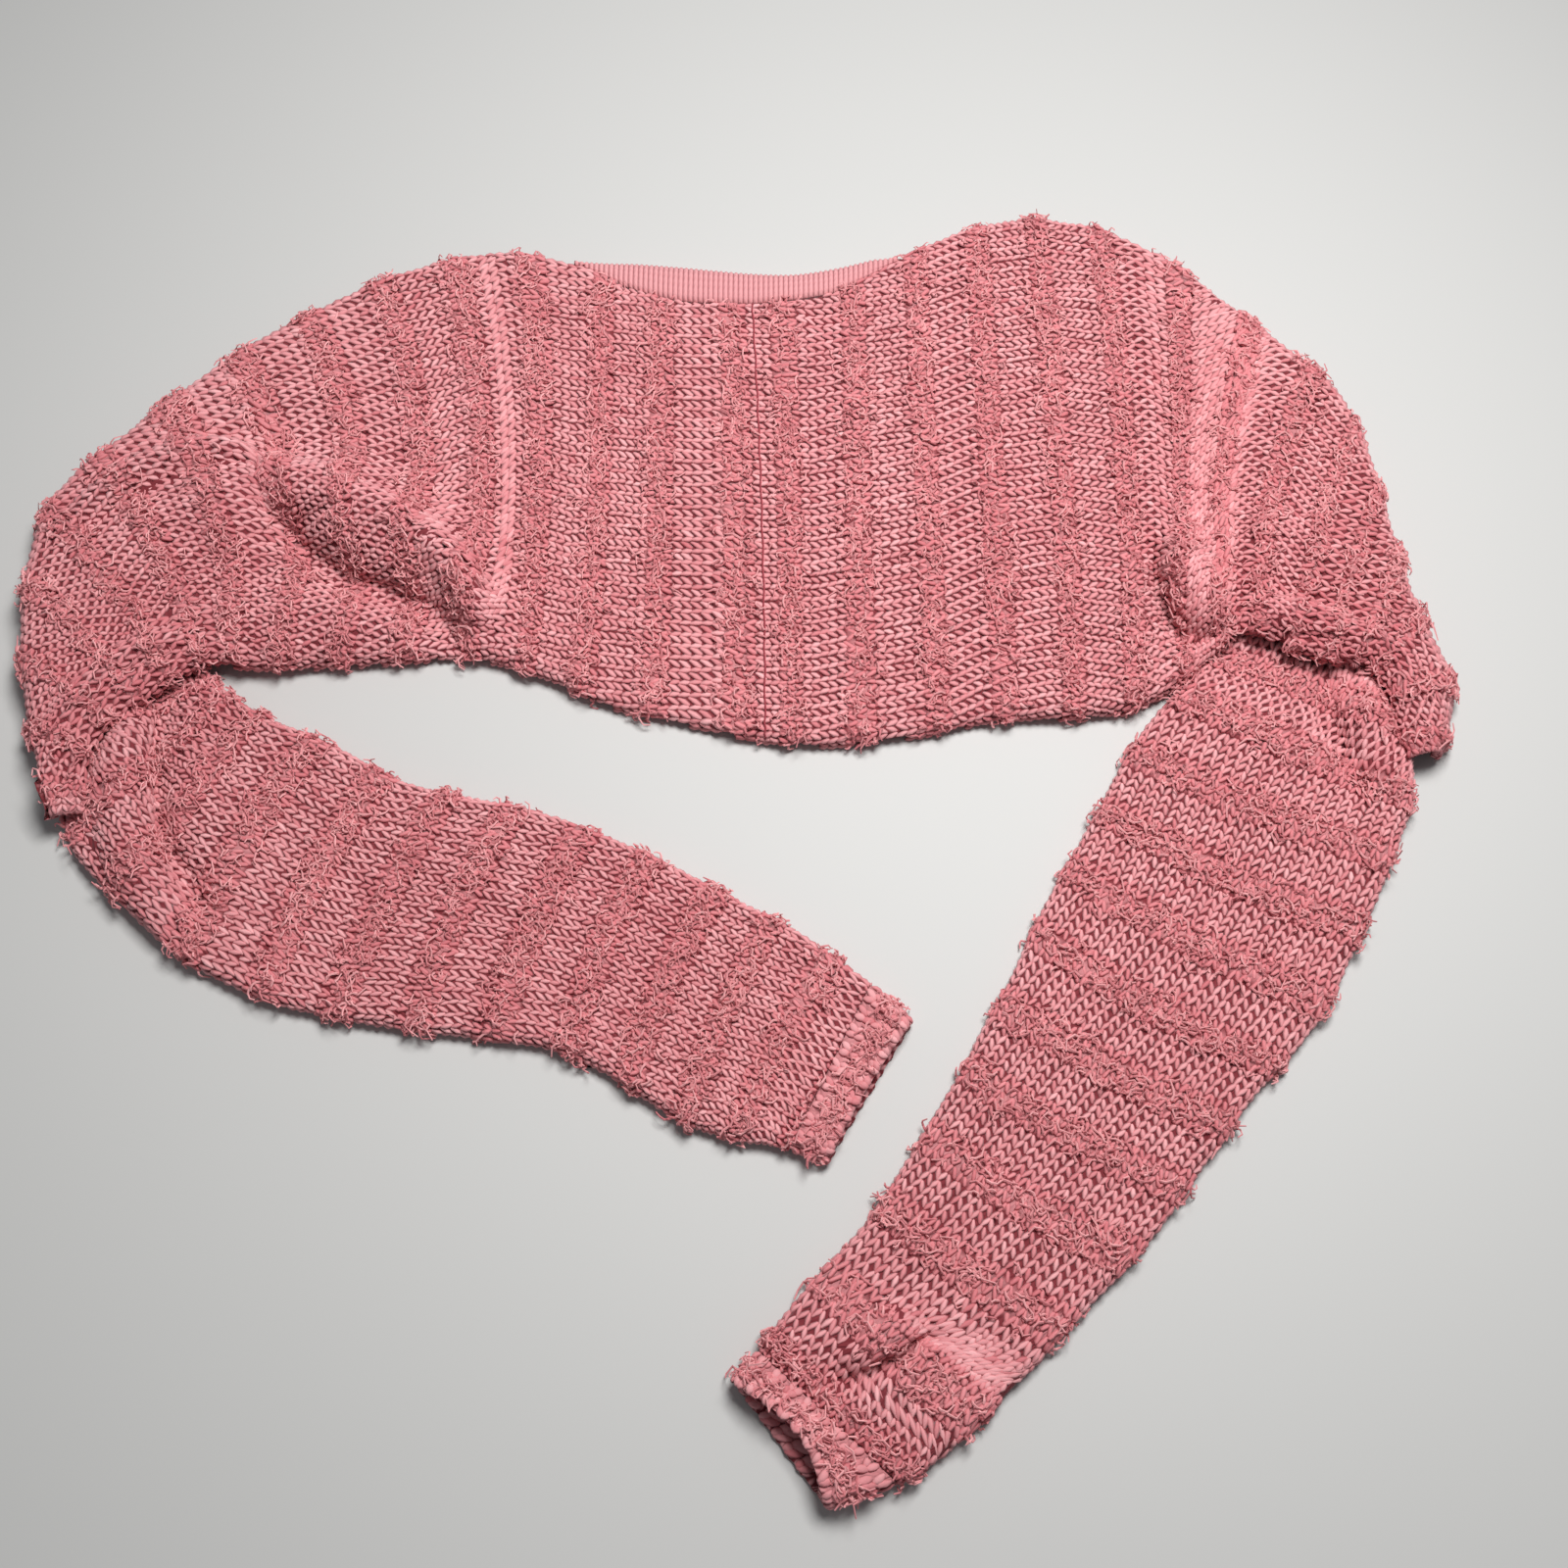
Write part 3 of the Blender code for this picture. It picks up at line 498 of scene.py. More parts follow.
def yarn_group():
    tree, given, made = new_group(
        "yarn_colour", "ShaderNodeTree",
        [("Painted shade", "NodeSocketColor", YARN_PAINTED_SHADE), ("Base", "NodeSocketColor", YARN_BASE),
         ("Light", "NodeSocketColor", YARN_LIGHT), ("Rise", "NodeSocketFloat", 1.0),
         ("Tint", "NodeSocketFloat", 0.5), ("Patches", "NodeSocketFloat", 0.35),
         ("Fibres", "NodeSocketFloat", 0.2)],
        [("Colour", "NodeSocketColor"), ("Height", "NodeSocketFloat")])
    place = tree.nodes.new("ShaderNodeTexCoord").outputs["Object"]
    patch = shader_node(tree, "ShaderNodeTexNoise", {"Vector": place, "Scale": 22.0, "Detail": 3.0})
    fibre = shader_node(tree, "ShaderNodeTexNoise", {"Vector": place, "Scale": 1400.0, "Detail": 2.0})
    drift = maths(tree, "MULTIPLY_ADD", patch.outputs["Fac"], 1.0, -0.5)
    drift = maths(tree, "MULTIPLY", drift, given.outputs["Patches"])
    grain = maths(tree, "SUBTRACT", fibre.outputs["Fac"], 0.5)
    grain = maths(tree, "MULTIPLY", grain, given.outputs["Fibres"])
    shade = maths(tree, "ADD", given.outputs["Tint"], drift)
    shade = maths(tree, "ADD", shade, grain)
    pink = shader_node(tree, "ShaderNodeMix", {"Factor": shade, 6: given.outputs["Base"],
                                               7: given.outputs["Light"]}, data_type="RGBA")
    # Painted shade: where the rise is low, on a leg's underside or between stitches, the pink turns to the
    # shade colour
    painted_shade_mix = shader_node(tree, "ShaderNodeMapRange", {"Value": given.outputs["Rise"], "From Min": 0.25,
                                                   "From Max": 0.8}, interpolation_type="SMOOTHSTEP")
    colour = shader_node(tree, "ShaderNodeMix", {"Factor": painted_shade_mix.outputs[0], 6: given.outputs["Painted shade"],
                                                 7: pink.outputs[2]}, data_type="RGBA")
    tree.links.new(colour.outputs[2], made.inputs["Colour"])
    tree.links.new(fibre.outputs["Fac"], made.inputs["Height"])
    return tree


YARN = yarn_group()
CLOTH_ROUGHNESS = 0.82
CLOTH_SHEEN = 0.25


def cloth_shader(name, sheen=CLOTH_SHEEN):
    """New material with a Principled shader for cotton yarn, its tree and its shader node."""
    material = bpy.data.materials.new(name)
    material.use_nodes = True
    tree = material.node_tree
    shader = tree.nodes["Principled BSDF"]
    shader.inputs["Roughness"].default_value = CLOTH_ROUGHNESS
    shader.inputs["Sheen Weight"].default_value = sheen
    shader.inputs["Sheen Roughness"].default_value = 0.4
    shader.inputs["Sheen Tint"].default_value = (1.0, 0.72, 0.74, 1)
    shader.inputs["Specular IOR Level"].default_value = 0.25
    return material, tree, shader


def attribute(tree, name):
    return shader_node(tree, "ShaderNodeAttribute", attribute_name=name).outputs["Fac"]


def ground_material():
    """The knit as a chart of chevrons, with painted shade between their legs, and dark with painted shade
    where real stitches lie on it.
    """
    material, tree, shader = cloth_shader("knit_ground", 0.1)
    chart = shader_node(tree, "ShaderNodeUVMap", uv_map="chart")
    split = shader_node(tree, "ShaderNodeSeparateXYZ", {0: chart.outputs[0]})
    side = maths(tree, "ABSOLUTE", maths(tree, "SUBTRACT", maths(tree, "FRACT", split.outputs[1]), 0.5))
    phase = maths(tree, "FRACT", maths(tree, "MULTIPLY_ADD", side, -1.9, split.outputs[0]))
    leg = maths(tree, "SINE", maths(tree, "MULTIPLY", phase, math.pi))
    across = maths(tree, "PINGPONG", side, 0.25)
    across = maths(tree, "SQRT", maths(tree, "MULTIPLY", across, 4.0))
    height = maths(tree, "MULTIPLY", leg, across)
    # Painted shade: under real stitches, and between the painted legs elsewhere; felted stripes are left
    # paler
    bare = maths(tree, "SUBTRACT", 1.0, attribute(tree, "covered"))
    rise = maths(tree, "MULTIPLY_ADD", attribute(tree, "felt"), 0.58, maths(tree, "MULTIPLY", height, bare))
    yarn = shader_node(tree, "ShaderNodeGroup", {"Painted shade": GROUND_PAINTED_SHADE}, node_tree=YARN)
    tree.links.new(rise, yarn.inputs["Rise"])
    bump = shader_node(tree, "ShaderNodeBump", {"Height": height, "Strength": 0.6, "Distance": 0.001})
    tree.links.new(yarn.outputs["Colour"], shader.inputs["Base Color"])
    tree.links.new(bump.outputs[0], shader.inputs["Normal"])
    return material


GROUND = ground_material()


def stitch_material(name, fibres, patches, painted_shade_colour, light):
    material, tree, shader = cloth_shader(name)
    yarn = shader_node(tree, "ShaderNodeGroup", {}, node_tree=YARN)
    tree.links.new(attribute(tree, "rise"), yarn.inputs["Rise"])
    tree.links.new(attribute(tree, "tint"), yarn.inputs["Tint"])
    yarn.inputs["Fibres"].default_value = fibres
    yarn.inputs["Patches"].default_value = patches
    yarn.inputs["Painted shade"].default_value = painted_shade_colour
    yarn.inputs["Light"].default_value = light
    around = shader_node(tree, "ShaderNodeUVMap", uv_map="UVMap")
    split = shader_node(tree, "ShaderNodeSeparateXYZ", {0: around.outputs[0]})
    turn = maths(tree, "MULTIPLY_ADD", split.outputs[1], 9.0, maths(tree, "MULTIPLY", split.outputs[0], 12.0))
    twist = maths(tree, "SINE", turn)
    height = maths(tree, "MULTIPLY_ADD", twist, 0.35, yarn.outputs["Height"])
    bump = shader_node(tree, "ShaderNodeBump", {"Height": height, "Strength": 0.35, "Distance": 0.0004})
    tree.links.new(yarn.outputs["Colour"], shader.inputs["Base Color"])
    tree.links.new(bump.outputs[0], shader.inputs["Normal"])
    return material


# The first colour given to each yarn is its painted shade, for the legs' undersides; the second is its
# lightest pink
STITCH_YARN = stitch_material("plain_yarn", 0.25, 0.5, YARN_PAINTED_SHADE, YARN_LIGHT)
FUZZY_YARN = stitch_material("fuzzy_yarn", 0.5, 0.6, (0.42, 0.09, 0.105, 1), (0.78, 0.30, 0.32, 1))


def floor_clamp(tree, geometry):
    """Geometry of a tree with nothing below the surface that the cloth lies on."""
    place = tree.nodes.new("GeometryNodeInputPosition").outputs[0]
    split = shader_node(tree, "ShaderNodeSeparateXYZ", {0: place})
    kept = shader_node(tree, "ShaderNodeCombineXYZ", {
        "X": split.outputs["X"], "Y": split.outputs["Y"],
        "Z": maths(tree, "MAXIMUM", split.outputs["Z"], 0.0002)})
    return shader_node(tree, "GeometryNodeSetPosition", {"Geometry": geometry,
                                                         "Position": kept.outputs[0]}).outputs[0]


def stitch_tree():
    """One leg of a stitch, a bent drop of yarn, set on every point of a chart."""
    tree, given, made = new_group(
        "knit_stitches", "GeometryNodeTree",
        [("Chart", "NodeSocketGeometry", None), ("Leg width", "NodeSocketFloat", 0.0025),
         ("Leg height", "NodeSocketFloat", 0.0022), ("Leg arch", "NodeSocketFloat", 0.0007),
         ("Sides", "NodeSocketInt", 5), ("Rings", "NodeSocketInt", 4),
         ("Yarn", "NodeSocketMaterial", None)],
        [("Stitches", "NodeSocketGeometry")])
    drop = shader_node(tree, "GeometryNodeMeshUVSphere", {"Segments": given.outputs["Sides"],
                                                          "Rings": given.outputs["Rings"], "Radius": 1.0})
    place = tree.nodes.new("GeometryNodeInputPosition").outputs[0]
    split = shader_node(tree, "ShaderNodeSeparateXYZ", {0: place})
    # Rise runs from 0 on the leg's underside to 1 on its top; the yarn colour paints shade on the underside
    # from it
    rise = maths(tree, "MULTIPLY_ADD", split.outputs["Y"], 0.5, 0.5)
    marked = shader_node(tree, "GeometryNodeStoreNamedAttribute", {
        "Geometry": drop.outputs["Mesh"], "Name": "rise", "Value": rise}, data_type="FLOAT", domain="POINT")
    mapped = shader_node(tree, "GeometryNodeStoreNamedAttribute", {
        "Geometry": marked.outputs[0], "Name": "UVMap", "Value": drop.outputs["UV Map"]},
        data_type="FLOAT2", domain="CORNER")
    wide = maths(tree, "MULTIPLY", given.outputs["Leg width"], 0.5)
    wide = maths(tree, "MULTIPLY", split.outputs["X"], wide)
    sunk = maths(tree, "MULTIPLY", maths(tree, "MULTIPLY", split.outputs["Z"], split.outputs["Z"]),
                 given.outputs["Leg arch"])
    high = maths(tree, "MULTIPLY", given.outputs["Leg height"], 0.5)
    high = maths(tree, "MULTIPLY", split.outputs["Y"], high)
    high = maths(tree, "SUBTRACT", high, sunk)
    bent = shader_node(tree, "ShaderNodeCombineXYZ", {
        "X": wide, "Y": high, "Z": maths(tree, "MULTIPLY", split.outputs["Z"], 0.5)})
    shaped = shader_node(tree, "GeometryNodeSetPosition", {"Geometry": mapped.outputs[0],
                                                           "Position": bent.outputs[0]})
    vectors = [shader_node(tree, "GeometryNodeInputNamedAttribute", {"Name": name},
                           data_type="FLOAT_VECTOR").outputs[0] for name in ("along", "out", "size")]
    turned = shader_node(tree, "FunctionNodeAxesToRotation", {0: vectors[0], 1: vectors[1]},
                         primary_axis="Z", secondary_axis="Y")
    placed = shader_node(tree, "GeometryNodeInstanceOnPoints", {
        "Points": given.outputs["Chart"], "Instance": shaped.outputs[0],
        "Rotation": turned.outputs[0], "Scale": vectors[2]})
    real = shader_node(tree, "GeometryNodeRealizeInstances", {"Geometry": placed.outputs[0]})
    smooth = shader_node(tree, "GeometryNodeSetShadeSmooth", {"Geometry": floor_clamp(tree, real.outputs[0])})
    dyed = shader_node(tree, "GeometryNodeSetMaterial", {"Geometry": smooth.outputs[0],
                                                         "Material": given.outputs["Yarn"]})
    tree.links.new(dyed.outputs[0], made.inputs[0])
    return tree


STITCHES = stitch_tree()


def point_mesh(name, points, vectors, values):
    """Mesh of loose points in millimetres on the table, with attributes for a node tree."""
    mesh = bpy.data.meshes.new(name)
    mesh.vertices.add(len(points))
    places = (points - np.array([LAY_CENTRE[0], LAY_CENTRE[1], 0])) * MM
    mesh.vertices.foreach_set("co", places.astype(np.float32).ravel())
    for label, data in vectors.items():
        layer = mesh.attributes.new(label, "FLOAT_VECTOR", "POINT")
        layer.data.foreach_set("vector", data.astype(np.float32).ravel())
    for label, data in values.items():
        layer = mesh.attributes.new(label, "FLOAT", "POINT")
        layer.data.foreach_set("value", data.astype(np.float32))
    return mesh


def grown(name, chart_mesh, tree, settings):
    """The mesh that a node tree makes from a chart of points, as a plain piece."""
    seed = bpy.data.objects.new(name + "_chart", chart_mesh)
    bpy.context.scene.collection.objects.link(seed)
    modifier = seed.modifiers.new("grow", "NODES")
    modifier.node_group = tree
    for item in tree.interface.items_tree:
        if item.in_out == "INPUT" and item.name in settings:
            modifier[item.identifier] = settings[item.name]
    deps = bpy.context.evaluated_depsgraph_get()
    mesh = bpy.data.meshes.new_from_object(seed.evaluated_get(deps), depsgraph=deps)
    mesh.name = name
    bpy.data.objects.remove(seed, do_unlink=True)
    piece = bpy.data.objects.new(name, mesh)
    bpy.context.scene.collection.objects.link(piece)
    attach(piece, "root")
    return piece


VERTEX_SIDE = 0.07
OPEN_SIDE = 0.45
LEG_LIFT = 0.3
LEG_OVERLAP = 1.16
TIGHT_COURSE = 2.6
WIDE_COURSE = 6.3
LEG_SPACING = (2.0, 3.1, 4.5, 6.0)
LEG_PLUMPNESS = (0.68, 1.0, 1.0, 1.25)
# Courses this close together lie in each other's shade and are darkened by up to the dip
CROWDED = (2.0, 3.2)
CROWDED_DIP = 0.35
LOWEST_LEG = 1.0
WALES = 60
PLAIN_LEG = {"Leg width": 0.0028, "Leg height": 0.0025, "Leg arch": 0.0008}


def stitch_places(chart, pitches, reach, missing=None, shear=0.0):
    """Course and way of every stitch: wales keep their pitch, counted from the high edge."""
    count = len(chart["points"])
    spare = math.ceil(abs(shear) / 2)
    courses = np.arange(-spare, count - 1 + spare)
    inside = np.clip(courses, 0, count - 1)
    pitch = np.interp(inside / (count - 1), *zip(*pitches))
    over = chart["over"][inside]
    top = over if missing is None else over + missing[inside]
    number = np.arange(-4, WALES)
    way = top[:, None] - (number[None, :] + 0.5) * pitch[:, None]
    course = courses[:, None] - OVER_EDGE + shear * (way / over[:, None] - 0.5)
    keep = (way > -reach[0]) & (way < (over + reach[1])[:, None]) & (course > -0.5) & (course < count - 1)
    wale = np.broadcast_to(number[None, :], way.shape)
    number = np.broadcast_to(courses[:, None], way.shape)
    pitch = np.broadcast_to(pitch[:, None], way.shape)
    return course[keep], way[keep], pitch[keep], wale[keep], number[keep]


def knit(name, chart, places, vertex_ahead, first_stripe, leg_span, seed, hidden=None):
    """Stitches of one piece, a leg on each side of the middle of every wale."""
    rng = np.random.default_rng(seed)
    course, way, pitch, wale, number = places
    way = way + 0.35 * np.sin(course / 5.0 + wale * 0.7) + 0.25 * np.sin(course / 2.3 + wale * 1.9)
    fuzzy = stripe_share(number + 0.5, first_stripe)
    pair = course - number % 2
    ahead = on_chart(chart, pair + 2, way)[0] - on_chart(chart, pair, way)[0]
    spacing = np.linalg.norm(ahead, axis=1) / 2
    tight = spacing < TIGHT_COURSE
    wide = spacing > WIDE_COURSE
    plump = np.interp(spacing * np.where(tight, 2, 1), LEG_SPACING, LEG_PLUMPNESS)
    shaded = np.interp(spacing, CROWDED, (-CROWDED_DIP, 0))
    course, way, pitch, fuzzy, number, plump, shaded = [
        np.concatenate([part, part[wide]]) for part in (course, way, pitch, fuzzy, number, plump, shaded)]
    course[len(tight):] += 0.5
    reach = leg_span * np.where(tight, 2.0, np.where(wide, 0.62, 1.0))
    reach = np.concatenate([reach, reach[wide]])
    tight = np.concatenate([tight, tight[wide]])
    shown = ~(tight & (number % 2 == 1))
    if hidden is not None:
        shown &= ~hidden(on_chart(chart, course, way)[0])
    course, way, pitch, fuzzy, plump, shaded = [
        part[shown] for part in (course, way, pitch, fuzzy, plump, shaded)]
    span = reach[shown]
    legs = []
    for side in (-1, 1):
        jitter = 1 + 2.0 * fuzzy
        shift = rng.normal(0, 0.16, (4, len(course))) * jitter
        first, last = (course + span, course) if vertex_ahead else (course, course + span)
        near, near_out = on_chart(chart, first + shift[0] * 0.25, way + side * VERTEX_SIDE * pitch + shift[1])
        far, far_out = on_chart(chart, last + shift[2] * 0.25, way + side * OPEN_SIDE * pitch + shift[3])
        out = near_out + far_out
        out /= np.linalg.norm(out, axis=1)[:, None]
        along = far - near
        length = np.linalg.norm(along, axis=1)
        lift = LEG_LIFT + 0.3 * fuzzy + rng.normal(0, 0.12, len(course)) * jitter
        size = np.stack([plump * pitch / WALE_WIDTH * rng.uniform(0.92, 1.08, len(course)),
                         rng.uniform(0.9, 1.1, len(course)), length * LEG_OVERLAP * MM], axis=1)
        tint = np.clip(rng.normal(0.5, 0.16, len(course)) + shaded, -0.2, 1)
        middle = (near + far) / 2 + out * lift[:, None]
        middle[:, 2] = np.maximum(middle[:, 2], LOWEST_LEG)
        legs.append((middle, along / length[:, None], out, size, tint, fuzzy))
    parts = [np.concatenate([leg[k] for leg in legs]) for k in range(6)]
    made = []
    for label, chosen, sides, rings, yarn, dye in (
            ("plain", parts[5] < 0.5, 4, 4, STITCH_YARN, 0.0),
            ("fuzzy", parts[5] >= 0.5, 4, 3, FUZZY_YARN, -0.05)):
        mesh = point_mesh(name + "_" + label, parts[0][chosen],
                          {"along": parts[1][chosen], "out": parts[2][chosen], "size": parts[3][chosen]},
                          {"tint": parts[4][chosen] + dye})
        settings = {**PLAIN_LEG, "Sides": sides, "Rings": rings, "Yarn": yarn}
        made.append(grown(name + "_" + label + "_stitches", mesh, STITCHES, settings))
    return made


def fuzz_tree():
    """A curl of loose yarn on every point: it leaves the cloth, loops and comes to rest on it."""
    tree, given, made = new_group(
        "fuzzy_curls", "GeometryNodeTree",
        [("Roots", "NodeSocketGeometry", None), ("Curl points", "NodeSocketInt", 6),
         ("Yarn radius", "NodeSocketFloat", 0.00028), ("Unevenness", "NodeSocketFloat", 0.0012),
         ("Yarn", "NodeSocketMaterial", None)],
        [("Curls", "NodeSocketGeometry")])
    place = tree.nodes.new("GeometryNodeInputPosition").outputs[0]
    rooted = shader_node(tree, "GeometryNodeStoreNamedAttribute", {
        "Geometry": given.outputs["Roots"], "Name": "root", "Value": place},
        data_type="FLOAT_VECTOR", domain="POINT")
    line = shader_node(tree, "GeometryNodeCurvePrimitiveLine", {"Start": (0, 0, 0), "End": (0, 0, 0.001)})
    steps = shader_node(tree, "GeometryNodeResampleCurve", {"Curve": line.outputs[0],
                                                            "Count": given.outputs["Curl points"]})
    placed = shader_node(tree, "GeometryNodeInstanceOnPoints", {"Points": rooted.outputs[0],
                                                                "Instance": steps.outputs[0]})
    real = shader_node(tree, "GeometryNodeRealizeInstances", {"Geometry": placed.outputs[0]})
    share = tree.nodes.new("GeometryNodeSplineParameter").outputs["Factor"]
    root, along, out, across = [shader_node(tree, "GeometryNodeInputNamedAttribute", {"Name": name},
                                            data_type="FLOAT_VECTOR").outputs[0]
                                for name in ("root", "along", "out", "across")]
    phase, turns, curl = [shader_node(tree, "GeometryNodeInputNamedAttribute", {"Name": name},
                                      data_type="FLOAT").outputs[0] for name in ("phase", "turns", "curl")]

    def scaled(vector, amount):
        node = shader_node(tree, "ShaderNodeVectorMath", {0: vector}, operation="SCALE")
        tree.links.new(amount, node.inputs["Scale"])
        return node.outputs[0]

    def added(first, second):
        return shader_node(tree, "ShaderNodeVectorMath", {0: first, 1: second}, operation="ADD").outputs[0]

    turn = maths(tree, "MULTIPLY_ADD", share, maths(tree, "MULTIPLY", turns, 2 * math.pi), phase)
    swing = maths(tree, "MULTIPLY", curl, share)
    rise = maths(tree, "SINE", maths(tree, "MULTIPLY", share, 2.6))
    forth = maths(tree, "MULTIPLY", swing, maths(tree, "COSINE", turn))
    bend = scaled(along, maths(tree, "ADD", share, forth))
    sway = scaled(across, maths(tree, "MULTIPLY", swing, maths(tree, "SINE", turn)))
    lift = scaled(out, rise)
    noise = shader_node(tree, "ShaderNodeTexNoise", {"Vector": root, "Scale": 900.0, "Detail": 0.0})
    stray = shader_node(tree, "ShaderNodeTexNoise", {"Scale": 420.0, "Detail": 0.0})
    away = scaled(noise.outputs["Color"], maths(tree, "MULTIPLY", share, 0.004))
    tree.links.new(added(added(root, bend), away), stray.inputs["Vector"])
    off = shader_node(tree, "ShaderNodeVectorMath", {0: stray.outputs["Color"], 1: (0.5, 0.5, 0.5)},
                      operation="SUBTRACT").outputs[0]
    uneven_by = maths(tree, "MULTIPLY", given.outputs["Unevenness"], 3.0)
    off = scaled(off, maths(tree, "MULTIPLY", share, uneven_by))
    total = added(added(root, bend), added(sway, added(lift, off)))
    moved = shader_node(tree, "GeometryNodeSetPosition", {"Geometry": real.outputs[0], "Position": total})
    taper = maths(tree, "MULTIPLY_ADD", share, -0.55, 1.0)
    thin = maths(tree, "MULTIPLY", given.outputs["Yarn radius"], taper)
    sized = shader_node(tree, "GeometryNodeSetCurveRadius", {"Curve": moved.outputs[0], "Radius": thin})
    # Rise of the curl above the cloth: the yarn colour paints shade on the parts of a curl near the cloth
    marked = shader_node(tree, "GeometryNodeStoreNamedAttribute", {
        "Geometry": sized.outputs[0], "Name": "rise",
        "Value": maths(tree, "MULTIPLY_ADD", rise, 0.45, 0.5)}, data_type="FLOAT", domain="POINT")
    ring = shader_node(tree, "GeometryNodeCurvePrimitiveCircle", {"Resolution": 3, "Radius": 1.0})
    flat_ring = shader_node(tree, "GeometryNodeTransform", {
        "Geometry": ring.outputs[0], "Scale": (0.55, 1, 1), "Rotation": (0, 0, -math.pi / 2)})
    level = shader_node(tree, "GeometryNodeSetCurveNormal", {"Curve": marked.outputs[0]}, mode="Z_UP")
    tube_mesh = shader_node(tree, "GeometryNodeCurveToMesh", {"Curve": level.outputs[0],
                                                              "Profile Curve": flat_ring.outputs[0],
                                                              "Fill Caps": True})
    radius = tree.nodes.new("GeometryNodeInputRadius").outputs[0]
    tree.links.new(radius, tube_mesh.inputs["Scale"])
    faceted = shader_node(tree, "GeometryNodeSetShadeSmooth", {
        "Geometry": floor_clamp(tree, tube_mesh.outputs[0]), "Shade Smooth": False})
    dyed = shader_node(tree, "GeometryNodeSetMaterial", {"Geometry": faceted.outputs[0],
                                                         "Material": given.outputs["Yarn"]})
    tree.links.new(dyed.outputs[0], made.inputs[0])
    return tree


CURLS = fuzz_tree()
# Curl colours: painted shade near the cloth, then base and lightest pink
CURL_PAINTED_SHADE = (0.40, 0.085, 0.10, 1)
CURL_BASE = (0.54, 0.148, 0.168, 1)
CURL_LIGHT = (0.87, 0.43, 0.44, 1)


def curl_material():
    material, tree, shader = cloth_shader("curled_yarn", 0.0)
    shader.inputs["Specular IOR Level"].default_value = 0.0
    yarn = shader_node(tree, "ShaderNodeGroup", {}, node_tree=YARN)
    yarn.inputs["Painted shade"].default_value = CURL_PAINTED_SHADE
    yarn.inputs["Base"].default_value = CURL_BASE
    yarn.inputs["Light"].default_value = CURL_LIGHT
    tree.links.new(attribute(tree, "rise"), yarn.inputs["Rise"])
    tree.links.new(attribute(tree, "tint"), yarn.inputs["Tint"])
    tree.links.new(yarn.outputs["Colour"], shader.inputs["Base Color"])
    return material


CURL_YARN = curl_material()


def fuzz(name, chart, first_stripe, count, reach, seed, shear=0.0, hidden=None):
    """Curls of loose yarn over the fuzzy stripes of a piece."""
    rng = np.random.default_rng(seed)
    last = len(chart["points"]) - 1
    number = rng.uniform(-3, last + 3, count * 6)
    over = np.interp(number, np.arange(len(chart["over"])), chart["over"])
    share = rng.uniform(0, 1, len(number))
    way = share * (over + reach[0] + reach[1]) - reach[0]
    course = number + shear * (way / over - 0.5)
    clumps = 0.63 + 0.37 * np.sin(number * 1.1 + way / 4.3) * np.sin(way / 6.1 + number / 1.7)
    wander = 0.3 * np.sin(way / 7.3 + number / 2.1) + rng.normal(0, 0.3, len(number))
    dense = stripe_share(number + wander, first_stripe) * (over / over.max()) * clumps
    keep = (rng.uniform(0, 1, len(number)) < dense) & (course > 0) & (course < last)
    course, way = course[keep][:count], way[keep][:count]
    root, out = on_chart(chart, course, way)
    ahead = on_chart(chart, course + 0.5, way)[0] - on_chart(chart, course - 0.5, way)[0]
    ahead -= out * np.sum(ahead * out, axis=1)[:, None]
    ahead /= np.linalg.norm(ahead, axis=1)[:, None]
    beside = np.cross(out, ahead)
    angle = rng.normal(math.pi / 2, 0.75, len(course)) + math.pi * rng.integers(0, 2, len(course))
    direction = ahead * np.cos(angle)[:, None] + beside * np.sin(angle)[:, None]
    length = rng.uniform(2.5, 6.2, len(course))
    curl = rng.uniform(0.25, 0.7, len(course))
    along = direction * length[:, None] * MM
    across = np.cross(out, direction) * length[:, None] * MM
    rise = out * (rng.uniform(0.6, 2.6, len(course)) * MM)[:, None]
    keep = root[:, 2] > 2.5
    if hidden is not None:
        keep &= ~hidden(root)
    mesh = point_mesh(name, (root + out * 0.9)[keep],
                      {"along": along[keep], "across": across[keep], "out": rise[keep]},
                      {"phase": rng.uniform(0, 6.28, len(root))[keep],
                       "turns": rng.uniform(0.35, 1.2, len(root))[keep],
                       "curl": curl[keep], "tint": rng.uniform(0.2, 1.0, len(root))[keep]})
    return grown(name, mesh, CURLS, {"Curl points": 5, "Yarn radius": 0.00068, "Unevenness": 0.0010,
                                     "Yarn": CURL_YARN})


def half_cloth(table, stripes, first, folds, creases, side):
    """Places, grid and normals of the upper layer of a half, and its chart."""
    places, rows = course_rows(table, stripes, first)
    rows[:, LOW_RIM:] = np.maximum(rows[:, LOW_RIM:], SEAM_GAP)
    swell = FUZZY_RISE * stripe_share(np.arange(len(rows)), first)
    grids = []
    for points in (HALF_POINTS, CHART_COLUMNS):
        outer, normal = laid_layer(rows, folds, points, CROWN)
        outer[:, (0, -1), 2] += SEAM_GAP / 2
        outer[0, :, 0] += side * SEAM_GAP / 2
        inside = np.sin(math.pi * np.linspace(0, 1, points)) ** 0.3
        outer = outer + ((swell[:, None] + uneven(outer)) * inside)[:, :, None] * normal
        outer = crease_move(outer, creases, HALF_LOWEST)
        grids.append(outer)
    normal = grid_normals(grids[0], False)
    normal *= np.sign(normal[:, HALF_POINTS // 2, 2].mean())
    return places, grids[0], normal, chart_of(grids[1], False)


